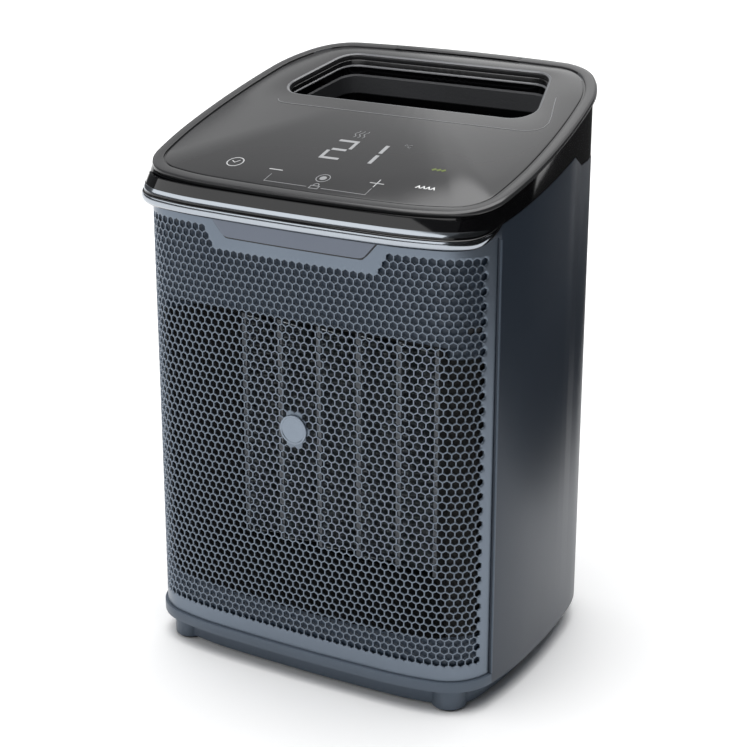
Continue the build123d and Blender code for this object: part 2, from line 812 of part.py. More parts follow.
def motor_screw_places():
    return [(side * (motor_radius - 5.0), axis_rise) for side in (-1, 1)]


def motor_screws():
    y = motor_y - bracket_thickness - screw_head_height + 0.0
    return [lengthwise(screw_head_radius, y, screw_head_height, x, z) +
            lengthwise(screw_radius, y, screw_head_height + bracket_thickness, x, z)
            for x, z in motor_screw_places()]


# ---- shelf and boards --------------------------------------------------------------------------
def inner_shelf():
    """Shelf across the body that carries the power board."""
    shelf = body_prism(shell_inner_grow - fit, shelf_rise, shelf_rise + shelf_thickness)
    shelf &= slab(shelf_front_back, shelf_rear_back, 0, big)
    shelf -= outlet_plate(fit)
    for x, back in board_screw_places():
        shelf += upright(3.0, shelf_rise + shelf_thickness, shelf_rise + shelf_thickness + standoff, x, back)
        shelf -= upright(screw_radius + running, shelf_rise - 1.0, big / 2 + 100.0, x, back)
    return shelf


def board_screw_places():
    return [(sx * (power_board_length / 2 - 6.0), power_board_back + sy * (power_board_width / 2 - 6.0))
            for sx in (-1, 1) for sy in (-1, 1)]


def power_board():
    low = shelf_rise + shelf_thickness + standoff
    board = slab(power_board_back - power_board_width / 2, power_board_back + power_board_width / 2,
                 low, low + board_thickness, power_board_length / 2)
    for x, back in board_screw_places():
        board -= upright(screw_radius + running, low - 1.0, low + 5.0, x, back)
    return board


def board_screws():
    low = shelf_rise + shelf_thickness + standoff + board_thickness
    return [upright(screw_head_radius, low, low + screw_head_height, x, back) +
            upright(screw_radius, low - 8.0, low + screw_head_height, x, back)
            for x, back in board_screw_places()]


def board_parts():
    """Relays, transformer, capacitor and terminal block on the power board."""
    low = shelf_rise + shelf_thickness + standoff + board_thickness
    back = power_board_back
    parts = [slab(back - 20.0, back - 8.0, low, low + 15.0, 9.0, x) for x in (-30.0, -6.0)]
    parts.append(slab(back + 2.0, back + 20.0, low, low + 16.0, 11.0, -14.0))
    parts.append(upright(5.0, low, low + 18.0, 12.0, back + 12.0))
    parts.append(upright(5.0, low, low + 18.0, 25.0, back + 12.0))
    parts.append(slab(back - 20.0, back - 10.0, low, low + 11.0, 14.0, 30.0))
    return parts


def room_sensor():
    """Thermistor bead on a short stalk, at the intake side of the shelf."""
    rise = shelf_rise
    stalk = upright(1.5, rise - 12.0, rise, 60.0, shelf_rear_back - 8.0)
    return stalk + Pos(60.0, front_y + shelf_rear_back - 8.0, rise - 12.0) * Sphere(2.4)


# ---- rear pieces -------------------------------------------------------------------------------
def intake_filter_frame():
    """Frame of the pull-off intake filter, with its crossbars and finger tab."""
    rear_face = body_depth - grille_inset
    half = window_half - seam
    low, high = window_low + seam, window_high - seam
    back = rear_face - 9.0
    frame = slab(back, back + filter_thickness, low, high, half)
    frame -= slab(back - 1.0, back + filter_thickness + 1.0, low + filter_rim, high - filter_rim,
                  half - filter_rim)
    columns, rows = 4, 7
    for index in range(1, columns):
        x = -half + 2 * half * index / columns
        frame += slab(back, back + 2.0, low + 1.0, high - 1.0, 1.0, x)
    for index in range(1, rows):
        rise = low + (high - low) * index / rows
        frame += slab(back, back + 2.0, rise - 1.0, rise + 1.0, half - 1.0)
    return frame + slab(back + 2.0, back + filter_thickness + 2.0, high - filter_rim,
                        high - filter_rim + 3.0, 12.0)


def filter_mesh():
    rear_face = body_depth - grille_inset
    half = window_half - seam - filter_rim - fit
    back = rear_face - 9.0 + 2.0 + fit
    return slab(back, back + 0.8, window_low + seam + filter_rim + fit,
                window_high - seam - filter_rim - fit, half)


def rocker_housing():
    """Body of the mains switch, with a bezel outside the cover."""
    rear_face = body_depth - grille_inset
    half_l, half_w = rocker_length / 2, rocker_width / 2
    box = slab(rear_face - 16.0, rear_face - 0.1, rocker_rise - half_w - 0.8, rocker_rise + half_w + 0.8,
               half_l + 0.8, rocker_x)
    bezel = slab(rear_face - 0.6, rear_face + 0.8, rocker_rise - half_w - 2.5, rocker_rise + half_w + 2.5,
                 half_l + 2.5, rocker_x) & body_prism(0.8, 0, big)
    bezel -= body_prism(0, 0, big)
    hollow = slab(rear_face - 13.0, big, rocker_rise - half_w + 0.2, rocker_rise + half_w - 0.2,
                  half_l - 0.2, rocker_x)
    return box + bezel - hollow


def rocker_pivot_y():
    return front_y + body_depth - grille_inset - 4.0


def mains_rocker():
    """Rocker paddle on a pin along Z, resting at its off side."""
    half_l, half_w = rocker_length / 2 - 1.6, rocker_width / 2 - 0.8
    points = [(-half_l, 2.6), (-half_l, -1.0), (0.0, -4.5), (half_l, -1.0), (half_l, 2.6), (0.0, 3.6)]
    face = make_face(Polyline([(x, y, -half_w) for x, y in points], close=True))
    paddle = extrude(face, 2 * half_w, dir=(0, 0, 1)) - Cylinder(1.0, rocker_width)
    turned = Rot(0, 0, -rocker_travel / 2) * paddle
    return Pos(rocker_x, rocker_pivot_y(), rocker_rise) * turned


def rocker_pin():
    return Pos(rocker_x, rocker_pivot_y(), rocker_rise) * Cylinder(1.0 - running, rocker_width - 0.4)


def cord_gland():
    """Round inlet gland; the cord itself is left out."""
    rear_face = body_depth - grille_inset
    y = front_y + rear_face
    gland = lengthwise(gland_radius + 1.8, y - 0.9, 1.9, gland_x, gland_rise) - body_prism(0, 0, big)
    gland += lengthwise(gland_radius - fit, y - 10.0, 10.5, gland_x, gland_rise)
    gland += lengthwise(gland_radius + 1.8, y - 10.0, 2.0, gland_x, gland_rise)
    return gland - lengthwise(gland_bore, y - 20.0, 40.0, gland_x, gland_rise)


# ---- tip-over switch ---------------------------------------------------------------------------
def tip_switch():
    """Switch body over the base plate, bored for the plunger's stem."""
    low = base_top
    body = slab(tip_back - 8.0, tip_back + 8.0, low, low + tip_body_height, 9.0, tip_x)
    body -= upright(tip_pin_radius + 1.5, low - 1.0, low + tip_body_height - 2.0, tip_x, tip_back)
    return body


def tip_plunger():
    """Pin that the floor pushes up, with a collar that stops it in the switch."""
    pin = upright(tip_pin_radius, 0.0, base_top + 6.0 + tip_travel, tip_x, tip_back)
    collar = upright(tip_pin_radius + 1.2, base_top + 1.0 + tip_travel, base_top + 3.0 + tip_travel,
                     tip_x, tip_back)
    return pin + collar


def tip_spring():
    """Coil spring above the collar, as a closed tube."""
    low = base_top + 3.0 + tip_travel
    high = base_top + tip_body_height - 2.0
    return upright(tip_pin_radius + 1.1, low, high, tip_x, tip_back) - \
        upright(tip_pin_radius + 0.2, low - 1.0, high + 1.0, tip_x, tip_back)


# ---- assembly ----------------------------------------------------------------------------------
def all_parts():
    """Every node's solid, or its list of solids."""
    return {
        "body_shell": body_shell(), "rear_cover": rear_cover(), "rear_frame": rear_frame(),
        "plinth_base": plinth_base(),
        "rubber_feet": rubber_feet(), "base_screws": base_screws(), "rear_screws": rear_screws(),
        "front_grille": front_grille(), "name_plate": name_plate(), "round_badge": round_badge(),
        "front_lip": front_lip(), "touch_panel": touch_panel(), "grip_insert": grip_insert(),
        "top_housing": top_housing(), "handle_pocket": handle_pocket(), "touch_board": touch_board(),
        "touch_springs": touch_springs(), "digit_display": digit_display(), "outlet_duct": outlet_duct(),
        "heater_frame": heater_frame(), "ceramic_bars": ceramic_bars(), "heater_fins": heater_fins(),
        "terminals": terminals(), "thermal_cutout": thermal_cutout(), "fan_duct": fan_duct(),
        "impeller": impeller(), "motor_can": motor_can(), "motor_bushes": motor_bushes(),
        "motor_shaft": motor_shaft(), "motor_rotor": motor_rotor(), "motor_coils": motor_coils(),
        "motor_bracket": motor_bracket(), "motor_screws": motor_screws(), "inner_shelf": inner_shelf(),
        "power_board": power_board(), "board_screws": board_screws(), "board_parts": board_parts(),
        "room_sensor": room_sensor(), "intake_filter_frame": intake_filter_frame(),
        "filter_mesh": filter_mesh(), "rocker_housing": rocker_housing(), "mains_rocker": mains_rocker(),
        "rocker_pin": rocker_pin(), "cord_gland": cord_gland(), "tip_switch": tip_switch(),
        "tip_plunger": tip_plunger(), "tip_spring": tip_spring(),
    }


def save(name, shape):
    """Write one node, with a list of solids kept as separate solids."""
    if isinstance(shape, list):
        shape = Compound(children=[solid for piece in shape for solid in piece.solids()])
    export_step(shape, f"parts/{name}.step")


os.makedirs("parts", exist_ok=True)
for node_name, node_shape in all_parts().items():
    save(node_name, node_shape)
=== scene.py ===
"""Looks of a compact ceramic fan heater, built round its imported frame.

The classes hold their sizes in millimetres and the meshes are in metres. X runs across the
heater, its front faces -Y, and +Z is up. "Back" is a distance behind the middle of the grille's
face, and "rise" is a height above the floor.
"""

import bisect
import json
import logging
import math
from collections.abc import Callable, Sequence
from dataclasses import dataclass, field
from enum import Enum

import bpy
from mathutils import Matrix, Vector
from mathutils.geometry import delaunay_2d_cdt
from mathutils.kdtree import KDTree


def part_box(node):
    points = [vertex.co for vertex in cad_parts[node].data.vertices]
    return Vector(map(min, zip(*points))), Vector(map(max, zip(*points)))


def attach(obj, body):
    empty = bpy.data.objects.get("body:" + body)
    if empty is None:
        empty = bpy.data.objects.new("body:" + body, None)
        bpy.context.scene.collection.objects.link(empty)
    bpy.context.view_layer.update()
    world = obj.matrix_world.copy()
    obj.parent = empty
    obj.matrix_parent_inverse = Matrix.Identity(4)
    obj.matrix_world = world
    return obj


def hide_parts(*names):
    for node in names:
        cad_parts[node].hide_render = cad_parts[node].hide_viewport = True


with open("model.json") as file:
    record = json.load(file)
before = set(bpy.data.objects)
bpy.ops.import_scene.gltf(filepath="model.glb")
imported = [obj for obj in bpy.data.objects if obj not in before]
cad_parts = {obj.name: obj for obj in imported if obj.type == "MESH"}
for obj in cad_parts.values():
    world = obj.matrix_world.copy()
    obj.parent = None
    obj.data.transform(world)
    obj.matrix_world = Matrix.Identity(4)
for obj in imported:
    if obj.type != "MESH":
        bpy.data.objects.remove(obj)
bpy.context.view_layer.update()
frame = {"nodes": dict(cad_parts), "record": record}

log = logging.getLogger("fan_heater")

MM = 0.001
FRONT_Y = -79.05  # y of the middle of the grille's face
HOUSING = "housing"


# ---- colours and shader nodes --------------------------------------------------------------------
def linear(code: str, alpha: float = 1.0) -> tuple[float, float, float, float]:
    """Turn an sRGB hex value into linear light.

    Args:
        code: colour such as "#4b5563".
        alpha: fourth value of the result.

    Returns:
        Red, green, blue and alpha for a shader socket.
    """
    shares = [int(code[i:i + 2], 16) / 255 for i in (1, 3, 5)]
    red, green, blue = (
        s / 12.92 if s <= 0.04045 else ((s + 0.055) / 1.055) ** 2.4 for s in shares
    )
    return red, green, blue, alpha


def add_node(
    tree: bpy.types.NodeTree, kind: str, inputs: dict | None = None, **settings: object
) -> bpy.types.Node:
    """Add one node with its settings and links.

    Args:
        tree: tree that takes the node.
        kind: the node's type name.
        inputs: value, or output socket to link, for each input name or number.
        settings: properties of the node itself.

    Returns:
        The new node.
    """
    made = tree.nodes.new(kind)
    for key, value in settings.items():
        setattr(made, key, value)
    for key, value in (inputs or {}).items():
        if isinstance(value, bpy.types.NodeSocket):
            tree.links.new(value, made.inputs[key])
        else:
            made.inputs[key].default_value = value
    return made


class Texture(Enum):
    """How a surface was made, which decides the pattern in it."""

    SPARKED = "fine grain of a spark-eroded mould"
    POLISHED = "polished mould with faint wiping marks"
    POWDER = "metallic powder coat"
    BRUSHED = "straight brushed lines"
    CAST = "pressed and fired powder"
    WOVEN = "plain weave"


@dataclass(frozen=True)
class Finish:
    """One finish: what the material is, and how its surface was made."""

    name: str
    colour: str
    drift: str
    roughness: float
    texture: Texture
    grain: float  # size of the pattern, in millimetres
    depth: float  # height of the relief, in millimetres
    metallic: float = 0.0
    ior: float = 1.5
    coat: float = 0.0
    coat_roughness: float = 0.05
    roughness_spread: float = 0.08
    glow: float = 0.0

    def patterns(self, tree: bpy.types.NodeTree) -> tuple:
        """Add the pattern nodes.

        Args:
            tree: the material's tree.

        Returns:
            Output sockets of the fine relief and of the broad drift, both from 0 to 1.
        """
        place = add_node(tree, "ShaderNodeTexCoord").outputs["Object"]
        fine_scale = 1.0 / (self.grain * MM)
        broad = add_node(tree, "ShaderNodeTexNoise", {
            "Vector": place, "Scale": 14.0, "Detail": 3.0, "Roughness": 0.55,
        })
        if self.texture is Texture.BRUSHED:
            place = add_node(tree, "ShaderNodeMapping", {
                "Vector": place, "Scale": (0.03, 1.0, 1.0),
            }).outputs["Vector"]
        if self.texture is Texture.WOVEN:
            waves = [
                add_node(tree, "ShaderNodeTexWave", {
                    "Vector": place, "Scale": fine_scale / (2 * math.pi) * 0.5,
                }, bands_direction=axis).outputs["Fac"]
                for axis in ("X", "Z")
            ]
            fine = add_node(tree, "ShaderNodeMath", {0: waves[0], 1: waves[1]},
                            operation="MULTIPLY").outputs[0]
        elif self.texture is Texture.POWDER:
            fine = add_node(tree, "ShaderNodeTexVoronoi", {
                "Vector": place, "Scale": fine_scale, "Randomness": 1.0,
            }).outputs["Distance"]
        else:
            fine = add_node(tree, "ShaderNodeTexNoise", {
                "Vector": place, "Scale": fine_scale, "Detail": 4.0, "Roughness": 0.6,
            }).outputs[0]
        return fine, broad.outputs[0]

    def material(self) -> bpy.types.Material:
        """Build the material, once.

        Returns:
            The material with this finish's name.
        """
        made = bpy.data.materials.get(self.name)
        if made is not None:
            return made
        made = bpy.data.materials.new(self.name)
        made.use_nodes = True
        tree = made.node_tree
        tree.nodes.clear()
        fine, broad = self.patterns(tree)
        colour = add_node(tree, "ShaderNodeMix", {
            0: broad, 6: linear(self.colour), 7: linear(self.drift),
        }, data_type="RGBA")
        rough = add_node(tree, "ShaderNodeMapRange", {
            "Value": fine, "To Min": max(0.02, self.roughness - self.roughness_spread / 2),
            "To Max": self.roughness + self.roughness_spread / 2,
        })
        relief = add_node(tree, "ShaderNodeBump", {
            "Height": fine, "Strength": 1.0, "Distance": self.depth * MM,
        })
        shader = add_node(tree, "ShaderNodeBsdfPrincipled", {
            "Base Color": colour.outputs[2], "Roughness": rough.outputs[0],
            "Metallic": self.metallic, "IOR": self.ior, "Normal": relief.outputs[0],
            "Coat Weight": self.coat, "Coat Roughness": self.coat_roughness,
        })
        if self.glow > 0:
            shader.inputs["Emission Color"].default_value = linear(self.colour)
            shader.inputs["Emission Strength"].default_value = self.glow
        add_node(tree, "ShaderNodeOutputMaterial", {"Surface": shader.outputs[0]})
        return made


# Moulded ABS with a sparked grain: satin, its light edges come from rounded corners.
SATIN_ABS = Finish("painted_abs_satin", "#2a323d", "#313a46", 0.38, Texture.SPARKED, 0.35, 0.01,
                   metallic=0.35)
# Real colour of the plinth. The shell's bottom rim band and its edge beads also take it: there the
# lighter colour is painted light.
BASE_ABS_AND_SHELL_LIGHT = Finish("base_abs_and_painted_shell_light", "#4b5561", "#545f6c", 0.4, Texture.SPARKED, 0.35, 0.01,
                  metallic=0.3)
BLACK_ABS = Finish("moulded_abs_black", "#131416", "#1a1b1d", 0.5, Texture.SPARKED, 0.4, 0.015)
DUCT_PP = Finish("moulded_polypropylene_duct", "#2e3a49", "#374555", 0.45, Texture.SPARKED, 0.5,
                 0.01)
# Near black on the duct's inside: painted shade.
DUCT_PAINTED_SHADE = Finish("painted_shade_duct_inside", "#050506", "#08090b", 0.7, Texture.SPARKED, 0.5, 0.02)
# Powder coat over perforated steel: small metal flakes, soft sheen.
COATED_STEEL = Finish("powder_coated_steel", "#69737f", "#747e8a", 0.34, Texture.POWDER, 0.25,
                      0.004, metallic=0.8, coat=0.1, coat_roughness=0.25)
PLATE_STEEL = Finish("brushed_plate_steel", "#646a75", "#6d737e", 0.34, Texture.BRUSHED, 0.3,
                     0.003, metallic=0.8)
BADGE_STEEL = Finish("brushed_badge_steel", "#7d8793", "#86909c", 0.3, Texture.BRUSHED, 0.25,
                     0.003, metallic=0.8)
# Piano-gloss ABS: nearly a black mirror.
PIANO_ABS = Finish("piano_gloss_abs", "#050506", "#08080a", 0.05, Texture.POLISHED, 6.0, 0.001,
                   roughness_spread=0.03)
# Smoked acrylic over a printed back: dark grey body, even soft reflection.
SMOKED_ACRYLIC = Finish("smoked_acrylic", "#2f2f30", "#323233", 0.18, Texture.POLISHED, 8.0,
                        0.0004, ior=1.49, roughness_spread=0.02)
SMOKED_EDGE = Finish("smoked_acrylic_edge", "#1c1c1d", "#202021", 0.12, Texture.POLISHED, 8.0,
                     0.0006, ior=1.49, roughness_spread=0.02)
# Bright chrome for the strips laid along the lip where its highlight bands fall: a painted highlight.
LIP_HIGHLIGHT_CHROME = Finish("chrome_lip_highlight", "#a3a9b0", "#adb3ba", 0.14, Texture.POLISHED, 5.0,
                     0.001, metallic=1.0, roughness_spread=0.04)
# Lighter grey on the edges of the handle opening and the pocket's collar: a painted highlight.
EDGE_GLINT = Finish("painted_edge_highlight", "#5c5d60", "#656669", 0.2, Texture.POLISHED, 5.0,
                    0.0006, roughness_spread=0.04)
GRAINED_ABS = Finish("grained_abs_grip", "#2b2c2e", "#47484b", 0.5, Texture.SPARKED, 0.9, 0.1)
RUBBER = Finish("moulded_rubber", "#17181a", "#1e1f21", 0.75, Texture.SPARKED, 0.6, 0.03)
ZINC_STEEL = Finish("zinc_plated_steel", "#a7abb0", "#b6babf", 0.35, Texture.BRUSHED, 0.4, 0.004,
                    metallic=1.0)
FIN_ALUMINIUM = Finish("rolled_aluminium", "#c4c9cf", "#d3d8dd", 0.3, Texture.BRUSHED, 0.5,
                       0.004, metallic=0.9)
CERAMIC = Finish("fired_ceramic", "#6f7379", "#7a7e84", 0.6, Texture.CAST, 0.8, 0.02)
BRASS = Finish("rolled_brass", "#b08a45", "#bd9650", 0.35, Texture.BRUSHED, 0.4, 0.004,
               metallic=1.0)
COPPER = Finish("enamelled_copper", "#9a4f2b", "#a85a33", 0.3, Texture.BRUSHED, 0.5, 0.02,
                metallic=1.0)
GLASS_EPOXY = Finish("glass_epoxy_board", "#1d5a34", "#23663c", 0.4, Texture.WOVEN, 0.6, 0.01,
                     coat=0.3)
NYLON_MESH = Finish("woven_nylon_mesh", "#3c4045", "#484c52", 0.7, Texture.WOVEN, 1.2, 0.15)
WHITE_INK = Finish("screen_ink_white", "#e2e3e4", "#ebebeb", 0.5, Texture.CAST, 0.3, 0.002)
SOFT_INK = Finish("screen_ink_soft_white", "#bdbebf", "#c5c6c7", 0.5, Texture.CAST, 0.3, 0.002)
GREY_INK = Finish("screen_ink_grey", "#8a8b8d", "#929395", 0.5, Texture.CAST, 0.3, 0.002)
FAINT_INK = Finish("screen_ink_faint", "#707173", "#77787a", 0.5, Texture.CAST, 0.3, 0.002)
GREEN_INK = Finish("screen_ink_green", "#5c6b1e", "#647325", 0.5, Texture.CAST, 0.3, 0.002)
LAMP = Finish("lit_digit_window", "#97989a", "#9fa0a2", 0.5, Texture.CAST, 0.3, 0.002)
FLAG_BLACK = Finish("black_velvet_flag", "#020202", "#030303", 0.9, Texture.WOVEN, 1.0, 0.05)
FLOOR = Finish("matt_floor_paint", "#f7f7f7", "#f9f9f9", 0.9, Texture.CAST, 3.0, 0.01)

CAD_FINISHES = {
    "shell_plastic": SATIN_ABS, "base_plastic": BASE_ABS_AND_SHELL_LIGHT, "black_plastic": BLACK_ABS,
    "duct_plastic": DUCT_PP, "grille_metal": COATED_STEEL, "plate_metal": PLATE_STEEL,
    "gloss_black": PIANO_ABS, "lip_gloss": PIANO_ABS, "smoked_panel": SMOKED_ACRYLIC,
    "rubber": RUBBER, "steel": ZINC_STEEL, "aluminium": FIN_ALUMINIUM, "ceramic": CERAMIC,
    "brass": BRASS, "board_green": GLASS_EPOXY, "copper": COPPER, "filter_cloth": NYLON_MESH,
}


# ---- plan outlines ---------------------------------------------------------------------------------
@dataclass(frozen=True)
class PlanPoint:
    """A place on an outline with its outward normal, in millimetres."""

    x: float
    y: float
    nx: float
    ny: float

    def grown(self, by: float) -> tuple[float, float]:
        """The place moved outwards along its normal."""
        return self.x + by * self.nx, self.y + by * self.ny


@dataclass(frozen=True)
class PlanOutline:
    """Closed outline of tangent arcs, the same on the left and the right.

    A place on it is a number from 0 at the front middle to the number of arcs at the rear middle,
    negative on the left.
    """

    width: float
    depth: float
    front: float
    corner: float
    rear_shoulder: float
    rear_corner: float
    bow_turn: float = 2.5
    shoulder: float = 143.4
    shoulder_turn: float = 13.0
    side_turn: float = 82.0
    side: float = 223.0
    rear_start_turn: float = 99.1
    rear_shoulder_turn: float = 125.0
    rear_bow_turn: float = 176.0
    steps: tuple[int, ...] = (24, 14, 26, 12, 20, 12, 20, 14)

    @staticmethod
    def travel(radius: float, start: float, end: float) -> tuple[float, float]:
        """How far an arc that turns from one heading to another goes in x and y."""
        a, b = math.radians(start), math.radians(end)
        return radius * (math.sin(b) - math.sin(a)), radius * (math.cos(a) - math.cos(b))

    def arcs(self) -> list[tuple[float, float, float]]:
        """The arcs from the front middle to the rear middle.

        Returns:
            Radius, first heading and last heading of each, in millimetres and degrees.
        """
        known = [(self.shoulder, self.bow_turn, self.shoulder_turn),
                 (self.corner, self.shoulder_turn, self.side_turn),
                 (self.side, self.side_turn, 90.0)]
        across = sum(self.travel(*arc)[0] for arc in known)
        bow = (self.width / 2 - across) / math.sin(math.radians(self.bow_turn))
        ahead = self.travel(bow, 0.0, self.bow_turn)[1] + sum(self.travel(*a)[1] for a in known)
        rear = [(self.rear_shoulder, self.rear_start_turn, self.rear_shoulder_turn),
                (self.rear_corner, self.rear_shoulder_turn, self.rear_bow_turn)]
        rear_across = -sum(self.travel(*arc)[0] for arc in rear)
        rear_ahead = sum(self.travel(*arc)[1] for arc in rear)
        lean = math.tan(math.radians(180.0 - self.rear_bow_turn) / 2)
        unit_across, unit_ahead = self.travel(1.0, 90.0, self.rear_start_turn)
        left = self.depth - ahead - rear_ahead - lean * (self.width / 2 - rear_across)
        side_rear = left / (unit_ahead + lean * unit_across)
        rest = self.width / 2 + side_rear * unit_across - rear_across
        rear_bow = rest / math.sin(math.radians(self.rear_bow_turn))
        return [(bow, 0.0, self.bow_turn), *known, (side_rear, 90.0, self.rear_start_turn),
                *rear, (rear_bow, self.rear_bow_turn, 180.0)]

    def at(self, place: float) -> PlanPoint:
        """Find the point at a place.

        Args:
            place: from 0 at the front middle to the number of arcs at the rear middle.

        Returns:
            The point, with its outward normal.
        """
        side = -1.0 if place < 0 else 1.0
        arcs = self.arcs()
        left = min(abs(place), len(arcs) - 1e-9)
        x, y, heading = 0.0, self.front, 0.0
        for radius, start, end in arcs:
            share = min(left, 1.0)
            heading = start + (end - start) * share
            across, ahead = self.travel(radius, start, heading)
            x, y, left = x + across, y + ahead, left - share
            if left <= 0:
                break
        turn = math.radians(heading)
        return PlanPoint(side * x, y, side * math.sin(turn), -math.cos(turn))

    def places(self, start: float, end: float) -> list[float]:
        """Evenly smooth places from one to another, both included.

        Args:
            start: first place, negative on the left.
            end: last place.

        Returns:
            The places in order.
        """
        half = [k + i / count for k, count in enumerate(self.steps) for i in range(count)]
        half.append(float(len(self.steps)))
        every = sorted({-p for p in half} | set(half))
        return [start, *[p for p in every if start + 1e-4 < p < end - 1e-4], end]

    def place_where(self, test: Callable[[PlanPoint], float], low: float, high: float) -> float:
        """Find where a measure passes zero.

        Args:
            test: measure of a point that is below zero at low and above it at high.
            low: place on one side.
            high: place on the other side.

        Returns:
            The place in between.
        """
        for _ in range(40):
            middle = (low + high) / 2
            low, high = (middle, high) if test(self.at(middle)) < 0 else (low, middle)
        return (low + high) / 2

    def behind(self, back: float) -> float:
        """The place on the right side that lies this far behind the grille."""
        return self.place_where(lambda p: p.y - FRONT_Y - back, 0.0, 5.5)

    def along(self, length: float, grow: float) -> PlanPoint:
        """Find the point at a length of arc from the front middle.

        Args:
            length: distance along the grown outline, negative on the left.
            grow: how far the outline is grown.

        Returns:
            The point on the grown outline.
        """
        left = abs(length)
        for index, (radius, start, end) in enumerate(self.arcs()):
            whole = (radius + grow) * math.radians(end - start)
            if left <= whole:
                found = self.at(math.copysign(index + left / whole, length))
                return PlanPoint(*found.grown(grow), found.nx, found.ny)
            left -= whole
        raise ValueError("the length passes the rear middle")


GRILLE_INSET = 1.4
BODY = PlanOutline(190.4, 165.0, FRONT_Y - GRILLE_INSET, 25.9, 70.0, 36.0)


@dataclass(frozen=True)
class PanelPlane:
    """The sloping plane of the touch panel's top face."""

    slope: float = 0.27
    rise: float = 240.5
    front_back: float = 3.4
    width: float = 191.6
    length: float = 163.4
    corner: float = 24.0
    rear_shoulder: float = 62.0
    rear_corner: float = 30.0

    @property
    def cosine(self) -> float:
        """Cosine of the slope."""
        return math.cos(math.atan(self.slope))

    @property
    def outline(self) -> PlanOutline:
        """Outline in the plane, with y = 0 at its front."""
        return PlanOutline(self.width, self.length, 0.0, self.corner, self.rear_shoulder,
                           self.rear_corner)

    def point(self, x: float, up_slope: float, drop: float = 0.0) -> Vector:
        """A place given across, up the slope, and below the face, in metres."""
        sine = self.slope * self.cosine
        y = FRONT_Y + self.front_back + up_slope * self.cosine + drop * sine
        z = self.rise + self.slope * self.front_back + up_slope * sine - drop * self.cosine
        return Vector((x, y, z)) * MM

    def over(self, x: float, back: float, drop: float = 0.0) -> Vector:
        """A place given across, behind the grille, and below the face, in metres."""
        return self.point(x, (back - self.front_back) / self.cosine, drop)

    def top(self, back: float) -> float:
        """Height of the face, that far behind the grille."""
        return self.rise + self.slope * back


PANEL = PanelPlane()


@dataclass(frozen=True)
class HandleOpening:
    """Plan of the opening that a hand goes into: a trapezium with round corners."""

    front_back: float = 98.0
    rear_back: float = 145.0
    front_half: float = 71.0
    rear_half: float = 57.5
    corner: float = 10.0
    middle_back: float = 121.5

    def ring(self, grow: float) -> list[tuple[float, float]]:
        """Points round the opening.

        Args:
            grow: how far the opening is grown.

        Returns:
            Across and back of each point, anticlockwise.
        """
        front, rear = self.front_back - grow, self.rear_back + grow
        lean = (self.front_half - self.rear_half) / (self.rear_back - self.front_back)
        wide, narrow = self.front_half + grow * (1 + lean), self.rear_half + grow * (1 - lean)
        corners = [(wide, front), (narrow, rear), (-narrow, rear), (-wide, front)]
        radius = max(0.5, self.corner + grow)
        ring = []
        for index, here in enumerate(corners):
            before, after = Vector(corners[index - 1]), Vector(corners[(index + 1) % 4])
            at = Vector(here)
            to_before, to_after = (before - at).normalized(), (after - at).normalized()
            half_angle = to_before.angle(to_after) / 2
            centre = at + (to_before + to_after).normalized() * radius / math.sin(half_angle)
            start = at + to_before * radius / math.tan(half_angle) - centre
            end = at + to_after * radius / math.tan(half_angle) - centre
            turn = start.angle_signed(end)
            for step in range(17):
                arm = start.copy()
                arm.rotate(Matrix.Rotation(-turn * step / 16, 2))
                ring.append(tuple(centre + arm))
        return ring

    def matched(self, grow: float, towards: Sequence[tuple[float, float]]) -> list:
        """Points of the opening that lie in the directions of other points.

        Args:
            grow: how far the opening is grown.
            towards: across and back of the points to face.

        Returns:
            Across and back on the opening's edge, one for each of the given points.
        """
        ring = self.ring(grow)
        fine = []
        for (x0, b0), (x1, b1) in zip(ring, ring[1:] + ring[:1]):
            fine += [(x0 + (x1 - x0) * k / 24, b0 + (b1 - b0) * k / 24) for k in range(24)]
        polar = sorted((math.atan2(b - self.middle_back, x), math.hypot(x, b - self.middle_back))
                       for x, b in fine)
        angles = [a for a, _ in polar]
        found = []
        for x, back in towards:
            angle = math.atan2(back - self.middle_back, x)
            after = bisect.bisect_left(angles, angle) % len(polar)
            (a0, r0), (a1, r1) = polar[after - 1], polar[after]
            span = (a1 - a0) % (2 * math.pi) or 1e-9
            share = ((angle - a0) % (2 * math.pi)) / span
            reach = r0 + (r1 - r0) * min(1.0, share)
            found.append((reach * math.cos(angle), self.middle_back + reach * math.sin(angle)))
        return found


OPENING = HandleOpening()


